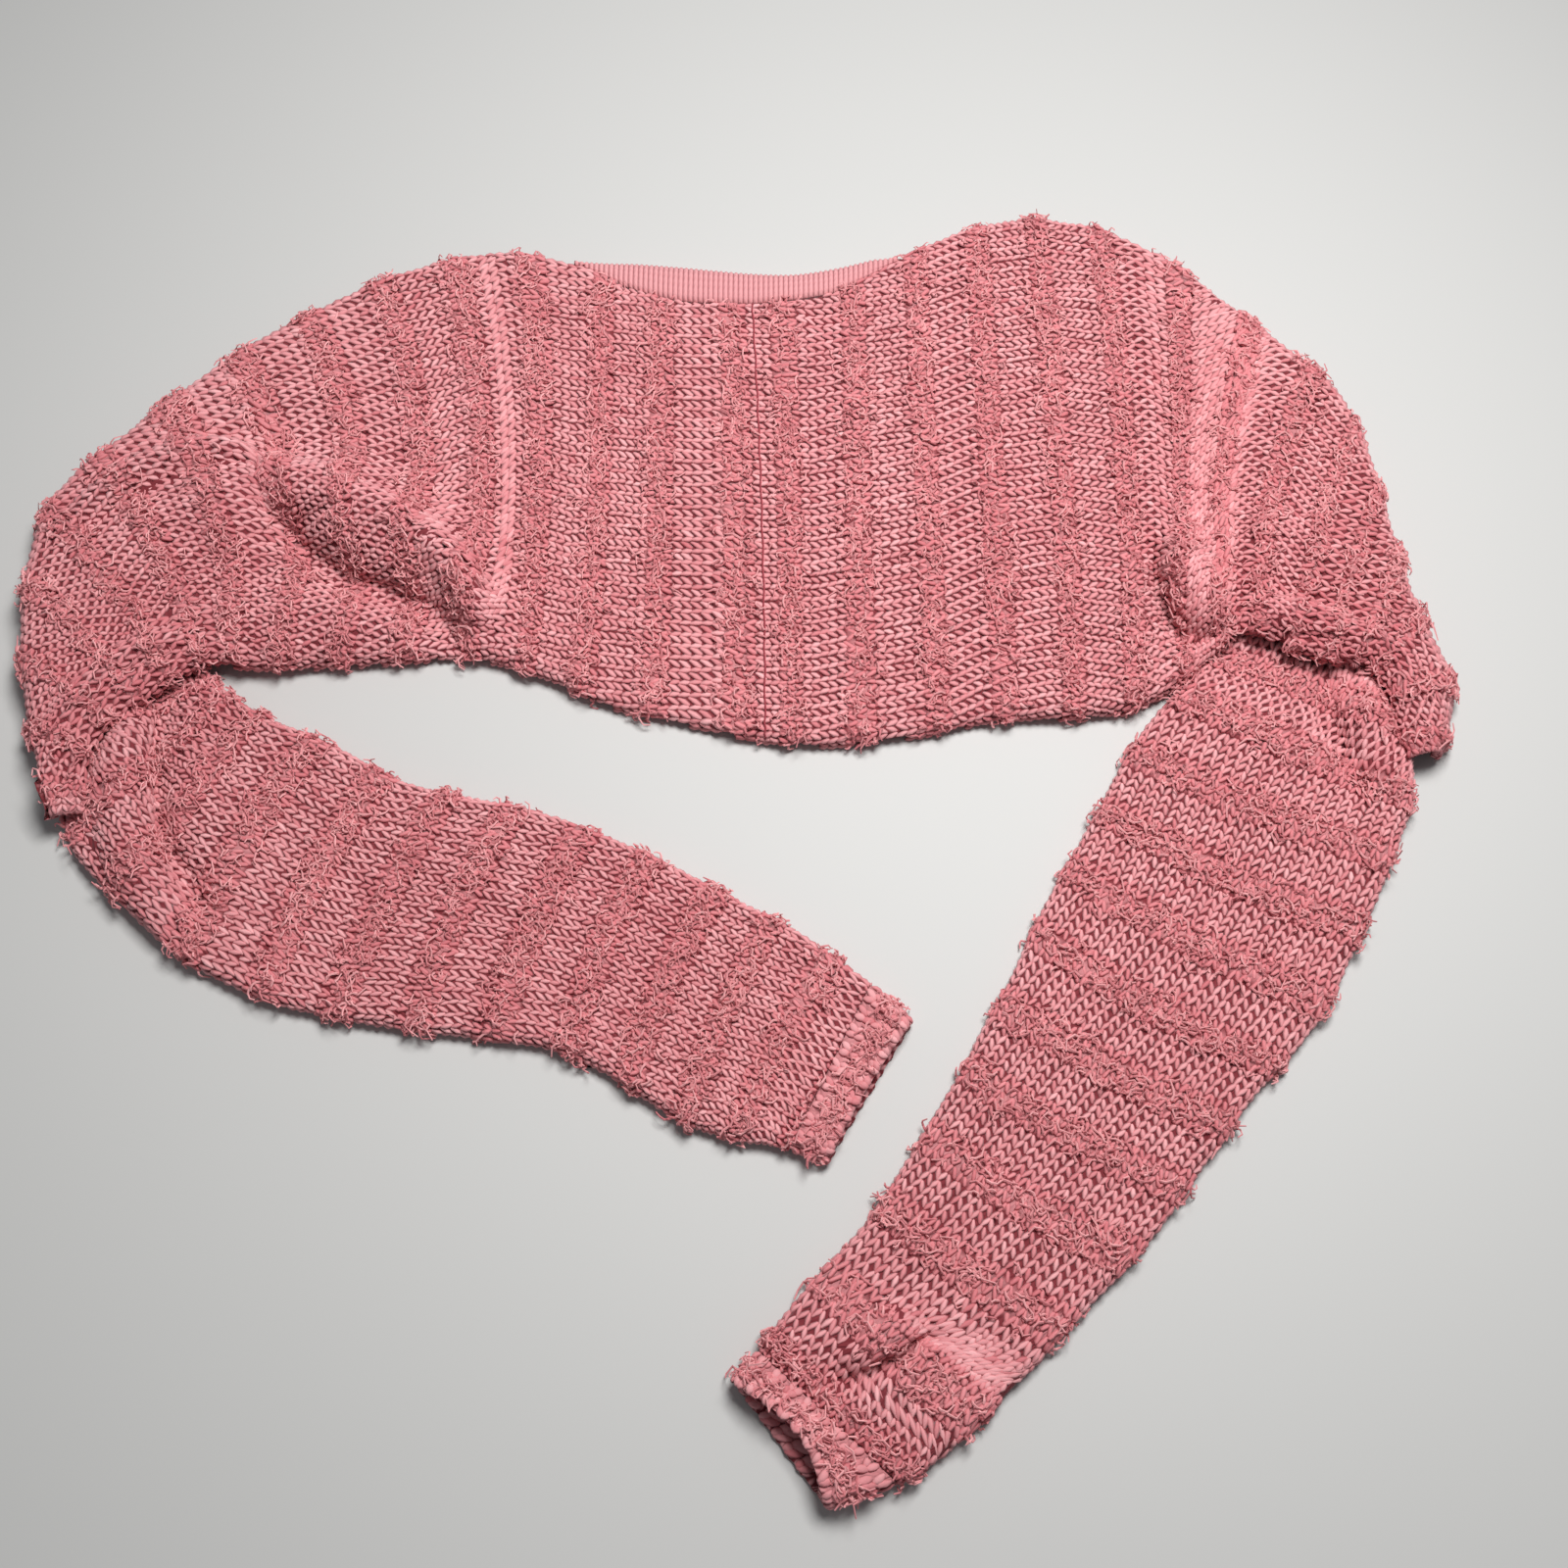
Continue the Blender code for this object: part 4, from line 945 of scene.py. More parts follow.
def half_wall(name, outer, normal, chart, first, node):
    """The wall of a half under its stitches, felted where its stripes are fuzzy."""
    steps = np.linalg.norm(np.diff(outer, axis=1), axis=2)
    travelled = np.concatenate([np.zeros((len(outer), 1)), np.cumsum(steps, axis=1)], axis=1)
    courses = np.broadcast_to(np.arange(len(outer))[:, None], travelled.shape)
    uv = np.stack([courses, (travelled - chart["over"][:, None]) / WALE_WIDTH], axis=2)
    felt = stripe_share(np.arange(len(outer)), first)[:, None] + 0 * travelled
    felt[-5:] = 1
    inner = outer - KNIT_WALL * normal
    inner[:, :, 2] = np.maximum(inner[:, :, 2], INNER_REST)
    wall = make_wall(name, outer, inner, False, uv, 0 * felt + 1, felt)
    return finish_cloth(wall, GROUND, node)


# Widths of a wale, from the centre back to the elbow
HALF_PITCH = ((0, 6.0), (0.35, 5.9), (0.55, 5.5), (1, 5.2))
HALF_LEG_SPAN = 1.18
HALF_LOWEST = 6.2
LEFT_STRIPES = (0.3, 1.3, 2.5, 3.75, 4.8, 5.8, 6.75, 7.65, 8.5, 9.3, 10.15, 11.0, 11.8, 12.7)
LEFT_FIRST = 2.7
# How much the neck opening takes off the top of each course, by its place in the table
LEFT_NECK_DROP = ((0, 27), (1, 25), (2, 17), (3, 4), (4, 0))
LEFT_CREASES = {
    "behind the main ridge": (6.5, 0.5, 0.5, (
        (-331, 113, 0.0, 0, 20, 0),
        (-315, 130, 3.0, 0, 20, 0),
        (-292, 147, 5.0, 0, 20, 0),
        (-264, 156, 5.5, 0, 20, 0),
        (-238, 158, 5.0, 0, 20, 0),
        (-214, 153, 3.0, 0, 20, 0),
        (-196, 143, 0.0, 0, 20, 0),
    )),
    "under the main ridge": (8.5, 0.62, 0.85, (
        (-243, 148, 0.0, 0, 30, 0),
        (-239, 134, 6.0, 24, 36, 0),
        (-229, 118, 10.0, 30, 44, 1),
        (-214, 105, 13.0, 34, 50, 2),
        (-193, 95, 14.0, 35, 50, 3),
        (-171, 88, 14.0, 34, 42, 3),
        (-156, 77, 13.0, 29, 32, 3),
        (-147, 65, 9.0, 21, 26, 2),
        (-141, 55, 0.0, 0, 22, 0),
    )),
    "below the ridge towards the elbow": (6.0, 0.6, 0.8, (
        (-331, 78, 0.0, 0, 20, 0),
        (-324, 94, 0.5, 20, 26, 0),
        (-308, 114, 1.5, 25, 34, 0),
        (-286, 130, 2.0, 29, 36, 0),
        (-264, 137, 2.0, 30, 34, 0),
        (-248, 140, 1.5, 27, 28, 0),
        (-238, 142, 0.0, 0, 22, 0),
    )),
    "rolled edge over the forearm": (5.0, 0.5, 0.45, (
        (-306, -30, 0.0, 0, 20, 0),
        (-307, -16, 0.0, 20, 24, 3),
        (-307, 2, 0.0, 25, 28, 5),
        (-302, 18, 0.0, 27, 30, 6),
        (-293, 31, 0.0, 27, 30, 6),
        (-281, 43, 0.0, 26, 30, 5),
        (-264, 50, 0.0, 22, 28, 3),
        (-246, 54, 0.0, 0, 24, 0),
    )),
}

left_places, left_outer, left_normal, left_chart = half_cloth(
    LEFT_BACK, LEFT_STRIPES, LEFT_FIRST, LEFT_BACK_FOLDS, LEFT_CREASES, -1)
left_half = half_wall("left_half", left_outer, left_normal, left_chart, LEFT_FIRST, "back_left")
left_missing = np.interp(left_places, *zip(*LEFT_NECK_DROP))
left_stitches = stitch_places(left_chart, HALF_PITCH, (2.6, 2.0), left_missing)
left_dressing = knit("left_half", left_chart, left_stitches, False, LEFT_FIRST, HALF_LEG_SPAN, 11)
left_dressing.append(fuzz("left_half_fuzz", left_chart, LEFT_FIRST, 3750, (1, 1), 12))


# Right half, made like the left one and joined to it down the centre back.
# Its sleeve is folded under at the elbow in another way, so its edge turns in more sharply.
RIGHT_BACK = (
    (-8.4, 19.0, -15.8, 250.0, 1.6, 9.0, 4.5, 7.6),
    (24.8, 17.6, 24.7, 257.0, 0.5, 9.2, 4.6, 7.6),
    (63.4, 22.6, 59.4, 277.6, 0, 10.0, 4.8, 5.4),
    (94.1, 29.0, 92.0, 294.0, 0, 11.2, 4.8, 5.0),
    (128.8, 30.6, 125.0, 300.4, 2, 11.8, 4.8, 5.0),
    (156.6, 34.6, 157.6, 294.4, 4, 12.6, 4.8, 5.0),
    (178.8, 45.6, 192.0, 273.8, 0, 13.4, 6.0, 5.0),
    (192.3, 57.9, 219.4, 248.2, -6, 14.8, 10.0, 5.0),
    (204.2, 68.2, 242.2, 225.4, -8, 17.4, 13.9, 4.6),
    (217.3, 66.4, 264.4, 200.4, -6, 19.4, 14.2, 3.0),
    (232.6, 58.1, 275.2, 170.6, -4, 21.0, 14.2, 1.4),
    (246.3, 54.0, 280.0, 136.0, -2, 22.5, 14.2, 0.6),
    (258.0, 51.6, 285.0, 101.6, 0, 23.0, 14.4, 0.4),
    (265.2, 46.4, 292.0, 72.0, 0, 22.5, 14.4, 0.4),
    (269.5, 38.0, 301.0, 45.4, 0, 21.5, 14.4, 0.4),
    (272.0, 22.0, 296.4, 22.0, 0, 19.5, 14.4, 0.4),
    (274.5, 7.0, 289.5, 9.5, 0, 17.4, 14.2, 6.0),
)
RIGHT_BACK_FOLDS = {
    "furrow": (
        (181, 112, -1.0, 10, 11, 0),
        (179, 98, -4.6, 11, 12, 0),
        (180, 86, -5.6, 12, 12, 0),
        (183, 77, -4.0, 12, 11, 0),
        (186, 70, -1.2, 11, 10, 0),
    ),
    "knob": (
        (172, 108, 3.0, 12, 12, 0),
        (182, 114, 5.0, 12, 12, 0),
        (191, 108, 4.0, 12, 12, 0),
    ),
    "ridge right of the furrow": (
        (197, 112, 3.0, 14, 20, 0),
        (199, 100, 4.0, 14, 22, 0),
        (204, 92, 2.0, 14, 20, 0),
    ),
    "ridge left of the furrow": (
        (166, 64, 1.5, 14, 12, 0),
        (166, 84, 3.0, 16, 10, 0),
        (167, 102, 2.0, 14, 10, 0),
    ),
    "shoulder swelling": (
        (204, 112, 2.0, 22, 26, 0),
        (236, 104, 4.0, 24, 28, 0),
        (270, 98, 2.5, 20, 26, 0),
    ),
    "soft shoulder fold": (
        (150, 252, 1.0, 18, 18, 0),
        (186, 222, 2.4, 20, 20, 0),
        (216, 186, 1.6, 20, 20, 0),
        (232, 160, 0.6, 18, 18, 0),
    ),
}
RIGHT_STRIPES = (0.35, 1.25, 2.15, 3.15, 4.0, 4.95, 6.05, 7.4, 8.6, 9.7, 10.7, 11.7, 12.7, 14.0)
RIGHT_FIRST = 3.3
RIGHT_NECK_DROP = ((0, 27), (1, 22), (2, 2), (3, 0))
RIGHT_CREASES = {
    "beside the knob": (8.0, 0.5, 0.5, (
        (171, 122, 0.0, 0, 14, 0),
        (172, 113, 5.0, 20, 18, 1),
        (174, 102, 11.0, 27, 24, 3),
        (177, 91, 14.0, 29, 27, 5),
        (180, 81, 14.0, 28, 27, 5),
        (184, 70, 12.0, 24, 24, 4),
        (187, 60, 0.0, 0, 18, 0),
    )),
    "rolled edge over the forearm": (5.0, 0.5, 0.45, (
        (200, 64, 0.0, 0, 20, 0),
        (213, 63, 0.0, 24, 26, 2),
        (230, 59, 0.0, 27, 28, 3),
        (246, 52, 0.0, 27, 28, 3),
        (263, 45, 0.0, 25, 26, 2),
        (280, 36, 0.0, 0, 20, 0),
    )),
    "pucker by the neck": (6.5, 0.5, 0.5, (
        (12, 238, 0.0, 0, 8, 0),
        (17, 240, 4.0, 0, 12, 0),
        (24, 242, 6.0, 0, 12, 0),
        (31, 243, 4.0, 0, 12, 0),
        (38, 246, 0.0, 0, 8, 0),
    )),
}

right_places, right_outer, right_normal, right_chart = half_cloth(
    RIGHT_BACK, RIGHT_STRIPES, RIGHT_FIRST, RIGHT_BACK_FOLDS, RIGHT_CREASES, 1)
right_half = half_wall("right_half", right_outer, right_normal, right_chart, RIGHT_FIRST, "back_right")
right_missing = np.interp(right_places, *zip(*RIGHT_NECK_DROP))
right_stitches = stitch_places(right_chart, HALF_PITCH, (2.6, 2.0), right_missing)
right_dressing = knit("right_half", right_chart, right_stitches, True, RIGHT_FIRST, HALF_LEG_SPAN, 21)
right_dressing.append(fuzz("right_half_fuzz", right_chart, RIGHT_FIRST, 3850, (1, 1), 22))


# Centre-back seam: a thin dark tube in the groove between the two halves' edges, from the hem to the neck
# band.
# It is painted shadow of that groove.
SEAM_SHADOW_RADIUS = 0.45
SEAM_SHADOW_RISE = 1.5
SEAM_SHADOW_SIDES = 6


def seam_shadow_tube():
    line = (left_outer[0] + right_outer[0]) / 2 + np.array([0, 0, SEAM_SHADOW_RISE])
    steps = np.linspace(0, len(line) - 1, 120)
    line = np.stack([np.interp(steps, np.arange(len(line)), line[:, axis]) for axis in range(3)], axis=1)
    line[:, 0] += 0.25 * np.sin(steps * 1.7)
    along = np.gradient(line, axis=0)
    along /= np.linalg.norm(along, axis=1)[:, None]
    side = np.cross(along, np.array([1.0, 0, 0]))
    side /= np.linalg.norm(side, axis=1)[:, None]
    other = np.cross(along, side)
    turn = np.arange(SEAM_SHADOW_SIDES) * 2 * math.pi / SEAM_SHADOW_SIDES
    rings = (line[:, None, :] + SEAM_SHADOW_RADIUS * (np.cos(turn)[None, :, None] * side[:, None, :]
                                                 + np.sin(turn)[None, :, None] * other[:, None, :]))
    points = (rings.reshape(-1, 3) - np.array([LAY_CENTRE[0], LAY_CENTRE[1], 0])) * MM
    faces = []
    for row in range(len(line) - 1):
        for column in range(SEAM_SHADOW_SIDES):
            after = (column + 1) % SEAM_SHADOW_SIDES
            faces.append((row * SEAM_SHADOW_SIDES + column, row * SEAM_SHADOW_SIDES + after,
                          (row + 1) * SEAM_SHADOW_SIDES + after, (row + 1) * SEAM_SHADOW_SIDES + column))
    last = (len(line) - 1) * SEAM_SHADOW_SIDES
    faces.append(tuple(reversed(range(SEAM_SHADOW_SIDES))))
    faces.append(tuple(range(last, last + SEAM_SHADOW_SIDES)))
    mesh = bpy.data.meshes.new("centre_seam_shadow")
    mesh.from_pydata(points.tolist(), [], faces)
    mesh.shade_smooth()
    material, tree, shader = cloth_shader("seam_shadow_tube")
    # Dark red: painted shadow of the groove between the halves
    shader.inputs["Base Color"].default_value = (0.30, 0.045, 0.06, 1)
    mesh.materials.append(material)
    piece = bpy.data.objects.new("centre_seam_shadow", mesh)
    bpy.context.scene.collection.objects.link(piece)
    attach(piece, "root")


seam_shadow_tube()


# Lower layers of the two halves, flat on the table under the upper ones.
# They are the same knit: each is the other side of its half's tube.
UNDER_RIM = 4.8
UNDER_SEAM_RIM = 0.6
FOLD_RIM = 5.0
BAND_RIM = 7.6
UNDER_POINTS = 24
UNDER_SECTIONS = 60
LEFT_UNDER_END = 8.4
RIGHT_UNDER_END = 6.5


def lower_layer(name, table, end, side, node):
    places = even_places(table, UNDER_SECTIONS)
    rows = np.array([smooth_row(table, place) for place in places])
    rows[:, LOW_RIM:] = np.maximum(rows[:, LOW_RIM:], SEAM_GAP)
    rows = rows[places <= end]
    rows[:, TOP] = 0
    rows[:, LOW_RIM] = np.minimum(rows[:, LOW_RIM], UNDER_RIM)
    seam_share = np.clip((rows[:, HIGH_RIM] - FOLD_RIM) / (BAND_RIM - FOLD_RIM), 0, 1)
    rows[:, HIGH_RIM] = np.minimum(rows[:, HIGH_RIM], UNDER_RIM + (UNDER_SEAM_RIM - UNDER_RIM) * seam_share)
    outer, normal = laid_layer(rows, {}, UNDER_POINTS, 0)
    outer[:, (0, -1), 2] -= SEAM_GAP / 2
    outer[0, :, 0] += side * SEAM_GAP / 2
    uv = np.stack([outer[:, :, 0] / COURSE_LENGTH, outer[:, :, 1] / WALE_WIDTH], axis=2)
    piece = make_wall(name, outer, outer - KNIT_WALL * normal, False, uv, np.zeros(outer.shape[0:2]))
    finish_cloth(piece, GROUND, node)
    return outer


left_under_outer = lower_layer("left_lower_layer", LEFT_BACK, LEFT_UNDER_END, -1, "under_left")
right_under_outer = lower_layer("right_lower_layer", RIGHT_BACK, RIGHT_UNDER_END, 1, "under_right")


# Forearms: the sleeves after the elbow fold, each a flattened tube of the same knit.
# They come out from under the upper sleeves and lie slantwise below the body.
LEFT_ARM = (
    (-250.0, 63.0, -303.0, 166.0, 0, 10.0),
    (-261.0, 60.0, -330.0, 124.0, 0, 11.4),
    (-263.0, 56.0, -337.0, 78.0, 0, 12.2),
    (-260.0, 49.5, -326.0, 20.0, 0, 12.6),
    (-252.5, 42.5, -312.0, -27.5, 0, 12.8),
    (-242.5, 34.5, -289.0, -52.0, 2, 12.4),
    (-227.5, 26.4, -258.4, -78.2, 3, 11.4),
    (-197.5, 13.2, -223.4, -96.3, 4, 10.4),
    (-168.0, -2.0, -193.6, -104.6, 4, 9.4),
    (-138.0, -9.2, -159.0, -110.4, 4, 9.4),
    (-108.4, -15.8, -127.4, -114.0, 4, 9.4),
    (-78.4, -26.6, -94.8, -119.4, 4, 9.4),
    (-48.4, -40.8, -68.0, -132.0, 4, 9.4),
    (-18.4, -56.8, -43.0, -148.0, 3, 9.4),
    (6.4, -70.6, -20.0, -155.8, 2, 9.4),
    (36.4, -92.4, 2.4, -159.6, 0, 9.4),
)
RIGHT_ARM = (
    (192.0, 68.0, 214.0, 244.0, 0, 10.0),
    (201.0, 76.0, 252.0, 196.0, 0, 11.4),
    (206.0, 78.0, 269.0, 134.0, 0, 12.4),
    (204.0, 72.0, 275.0, 78.0, 0, 13.0),
    (193.0, 58.0, 276.0, 34.0, 0, 13.2),
    (183.0, 45.0, 277.5, 6.0, 0, 13.2),
    (165.8, 28.2, 273.6, -14.6, 2, 12.6),
    (151.8, 8.5, 265.2, -32.8, 3, 11.6),
    (140.8, -11.3, 254.0, -55.6, 4, 10.6),
    (129.0, -31.0, 240.2, -80.4, 4, 9.4),
    (117.0, -50.8, 228.0, -101.4, 4, 9.4),
    (106.0, -70.6, 210.8, -121.6, 4, 9.4),
    (96.2, -90.6, 195.4, -136.2, 4, 9.4),
    (84.2, -110.4, 179.4, -155.0, 4, 9.4),
    (73.4, -130.2, 165.6, -172.2, 4, 9.4),
    (60.6, -150.0, 149.8, -191.6, 4, 9.4),
    (47.6, -169.8, 129.8, -211.4, 4, 10.0),
    (33.8, -189.7, 108.4, -231.6, 3, 10.4),
    (14.6, -209.4, 84.8, -254.8, 2, 11.0),
    (-3.0, -229.6, 58.6, -276.4, 1, 11.8),
    (-9.0, -238.4, 43.0, -284.6, 0, 12.4),
)
LEFT_ARM_FOLDS = {
    "elbow crease": (
        (-276, 40, -2.0, 8, 7, 0),
        (-281, 26, -4.4, 9, 7, 0),
        (-281, 10, -4.6, 10, 7, 0),
        (-279, -6, -4.4, 10, 7, 0),
        (-273, -26, -4.0, 10, 7, 0),
        (-262, -41, -2.8, 10, 7, 0),
        (-246, -57, -1.2, 9, 7, 0),
    ),
    "swelling by the outer edge": (
        (-292, -24, 1.2, 9, 9, 0),
        (-276, -44, 1.8, 10, 10, 0),
        (-252, -66, 1.4, 10, 12, 0),
        (-218, -82, 0.6, 10, 12, 0),
    ),
}
RIGHT_ARM_FOLDS = {
    "elbow furrow": (
        (244, 56, -4.4, 8, 7, 0),
        (243, 42, -5.6, 8, 7, 0),
        (244, 28, -5.2, 8, 7, 0),
        (249, 12, -3.2, 8, 7, 0),
        (253, -6, -1.2, 7, 7, 0),
    ),
    "ridge outside the furrow": (
        (262, 24, 1.0, 9, 9, 0),
        (261, 8, 2.4, 9, 9, 0),
        (260, -8, 2.0, 9, 9, 0),
        (252, -26, 0.6, 9, 9, 0),
    ),
    "cuff slit": (
        (54, -226, -1.0, 7, 7, 0),
        (46, -232, -3.6, 7, 7, 0),
        (36, -236, -3.8, 7, 7, 0),
        (26, -242, -1.6, 7, 7, 0),
    ),
    "bulge above the slit": (
        (46, -214, 1.0, 10, 10, 0),
        (28, -226, 2.4, 11, 11, 0),
        (12, -236, 2.0, 11, 11, 0),
    ),
    "bulge below the slit": (
        (56, -242, 1.4, 10, 10, 0),
        (42, -252, 2.4, 10, 10, 0),
        (24, -262, 1.4, 10, 10, 0),
    ),
}
ARM_POINTS = 22
ARM_PITCH = ((0, 5.5), (0.4, 5.2), (1, 4.8))
ARM_LEG_SPAN = 1.2
ARM_LOWEST = 5.8
LEFT_ARM_STRIPES = (0.9, 1.9, 3.0, 4.2, 5.3, 6.35, 7.4, 8.4, 9.35, 10.45, 11.4, 12.35, 13.25, 14.2)
LEFT_ARM_FIRST = 6.0
LEFT_ARM_SHEAR = -4.5
RIGHT_ARM_STRIPES = (1.2, 2.7, 4.1, 5.6, 7.05, 8.35, 9.7, 11.15, 12.6, 14.0, 15.35, 16.7, 18.1, 19.4)
RIGHT_ARM_FIRST = 7.0
RIGHT_ARM_SHEAR = 2.4
LEFT_ARM_CREASES = {
    "beside the puffed strip": (7.5, 0.5, 0.6, (
        (-238, -72, 0.0, 0, 20, 0),
        (-250, -60, 5.0, 15, 26, 2),
        (-260, -47, 8.0, 18, 28, 3),
        (-270, -31, 9.5, 20, 30, 4),
        (-276, -11, 10.0, 21, 32, 5),
        (-280, 8, 10.0, 21, 30, 5),
        (-281, 27, 10.0, 20, 26, 4),
        (-284, 43, 8.0, 16, 22, 2),
    )),
    "under the rolled edge": (10.0, 0.5, 0.5, (
        (-311, -24, 5.0, 0, 20, 0),
        (-313, 2, 7.0, 0, 20, 0),
        (-307, 17, 7.0, 0, 20, 0),
        (-297, 29, 7.0, 0, 20, 0),
        (-284, 40, 7.0, 0, 20, 0),
        (-267, 47, 7.0, 0, 20, 0),
        (-255, 49, 7.0, 0, 20, 0),
    )),
}
RIGHT_ARM_CREASES = {
    "hollow beside the rolled strip": (9.0, 0.5, 0.5, (
        (247, 60, 13.0, 16, 24, 3),
        (247, 46, 13.0, 21, 26, 4),
        (248, 32, 13.0, 22, 26, 4),
        (250, 14, 10.0, 19, 24, 3),
        (254, -4, 5.0, 16, 20, 1),
        (257, -24, 0.0, 0, 16, 0),
    )),
    "second slit": (7.0, 0.5, 0.5, (
        (272, 50, 7.0, 0, 18, 0),
        (281, 36, 9.0, 0, 18, 0),
        (287, 28, 7.0, 0, 16, 0),
        (291, 18, 0.0, 0, 14, 0),
    )),
    "under the rolled edge": (14.0, 0.5, 0.5, (
        (203, 60, 9.0, 0, 20, 0),
        (222, 54, 12.0, 0, 20, 0),
        (238, 48, 12.0, 0, 20, 0),
        (252, 44, 10.0, 0, 20, 0),
    )),
    "slit by the cuff": (5.0, 0.4, 0.4, (
        (18, -252, 2.0, 0, 12, 0),
        (27, -246, 9.0, 15, 13, 1),
        (37, -240, 14.0, 18, 15, 2),
        (47, -235, 14.0, 18, 15, 2),
        (54, -231, 5.0, 14, 12, 1),
        (59, -228, 0.0, 0, 10, 0),
    )),
}


def tube(rows, folds, points):
    """Outer points and normals of a flattened tube: over its top, then back underneath."""
    grid = []
    for row in rows:
        width = section_frame(row)[2]
        top = row[TOP]
        distance, height, turns, inside = across_profile(width, top / 2, top, top / 2)
        over = spread(fold_move(section_line(row, distance, height), folds, inside), points)
        distance, height, turns, inside = across_profile(width, top / 2, 0, top / 2)
        under = spread(section_line(row, distance, height), points)
        grid.append(np.vstack([over, under[-2:0:-1]]))
    grid = np.array(grid)
    normal = grid_normals(grid, True)
    if normal[:, points // 2, 2].mean() < 0:
        normal = -normal
    return grid, square_ends(normal, rows)

HIDDEN_MARGIN = 9.0


def inside_outline(outline):
    """Test for places in the plan of a piece and more than a stitch away from its edge."""
    corners = np.vstack([outline[:, 0, 0:2], outline[::-1, -1, 0:2]])
    dense = np.vstack([corners, (corners + np.roll(corners, -1, axis=0)) / 2])

    def test(points):
        inside = np.zeros(len(points), bool)
        for (ax, ay), (bx, by) in zip(corners, np.roll(corners, -1, axis=0)):
            crosses = (ay > points[:, 1]) != (by > points[:, 1])
            with np.errstate(divide="ignore", invalid="ignore"):
                at = ax + (points[:, 1] - ay) / (by - ay) * (bx - ax)
            inside ^= crosses & (points[:, 0] < at)
        away = np.full(len(points), 1e9)
        for corner in dense:
            away = np.minimum(away, np.hypot(*(points[:, 0:2] - corner).T))
        return inside & (away > HIDDEN_MARGIN)

    return test


def forearm(name, table, stripes, first, shear, folds, creases, node, vertex_ahead, upper, seed, curls):
    rows = course_rows(table, stripes, first)[1]
    grids = []
    for points in (ARM_POINTS, CHART_COLUMNS // 2):
        outer, normal = tube(rows, folds, points)
        share = np.zeros(outer.shape[1])
        share[:points] = np.sin(math.pi * np.linspace(0, 1, points)) ** 0.4
        number = np.arange(len(rows))[:, None] - shear * (np.linspace(0, 1, points) - 0.5)[None, :]
        swell = np.zeros(outer.shape[0:2])
        swell[:, :points] = FUZZY_RISE * stripe_share(number, first)
        outer = outer + ((swell + uneven(outer)) * share)[:, :, None] * normal
        outer = np.where(share[None, :, None] > 0.1, crease_move(outer, creases, ARM_LOWEST), outer)
        grids.append((outer, swell / FUZZY_RISE))
    outer, felt = grids[0]
    normal = grid_normals(outer, True)
    normal *= np.sign(normal[:, ARM_POINTS // 2, 2].mean())
    normal = square_ends(normal, rows)
    inner = outer - KNIT_WALL * normal
    inner[:, :, 2] = np.maximum(inner[:, :, 2], INNER_REST)
    chart = chart_of(grids[1][0], True, CHART_COLUMNS // 2 - 1)
    courses = np.broadcast_to(np.arange(len(outer))[:, None], outer.shape[0:2])
    wales = np.broadcast_to(np.arange(outer.shape[1])[None, :] / outer.shape[1] * 40, outer.shape[0:2])
    covered = np.zeros(outer.shape[0:2])
    covered[:, 1:ARM_POINTS - 1] = 1
    piece = make_wall(name, outer, inner, True, np.stack([courses, wales], axis=2), covered, felt)
    finish_cloth(piece, GROUND, node)
    hidden = inside_outline(upper)
    dressing = knit(name, chart, stitch_places(chart, ARM_PITCH, (4.5, 4.5), None, shear),
                    vertex_ahead, first, ARM_LEG_SPAN, seed, hidden)
    dressing.append(fuzz(name + "_fuzz", chart, first, curls, (3.0, 3.0), seed + 1, shear, hidden))


forearm("left_forearm", LEFT_ARM, LEFT_ARM_STRIPES, LEFT_ARM_FIRST, LEFT_ARM_SHEAR, LEFT_ARM_FOLDS,
        LEFT_ARM_CREASES, "forearm_left", False, left_outer, 31, 2500)
forearm("right_forearm", RIGHT_ARM, RIGHT_ARM_STRIPES, RIGHT_ARM_FIRST, RIGHT_ARM_SHEAR, RIGHT_ARM_FOLDS,
        RIGHT_ARM_CREASES, "forearm_right", False, right_outer, 41, 2800)


# Cuffs: short ends of the sleeves in a chunky rib of the same yarn, knitted straight on.
# The left one lies flat, and the right one's mouth stands a little open.
LEFT_CUFF = (
    (36.4, -92.4, 2.4, -159.6, 0, 9.4),
    (44.4, -100.4, 10.6, -162.4, 0, 9.4),
    (53.0, -109.4, 18.6, -163.8, 0, 9.5),
)
RIGHT_CUFF = (
    (-9.0, -238.4, 43.0, -284.6, 0, 12.4),
    (-14.2, -244.2, 29.0, -288.6, 0, 14.6),
    (-19.0, -249.6, 14.6, -291.8, 0, 16.8),
)
LEFT_CUFF_GAPE = 1.5
RIGHT_CUFF_GAPE = 8.0
CUFF_RIBS = 20
CUFF_RIB_HEIGHT = 1.5
CUFF_RIB_START = 0.3
CUFF_SECTIONS = 9
CUFF_POINTS_PER_RIB = 8
CUFF_COURSES = 5
CUFF_CURLS = 260


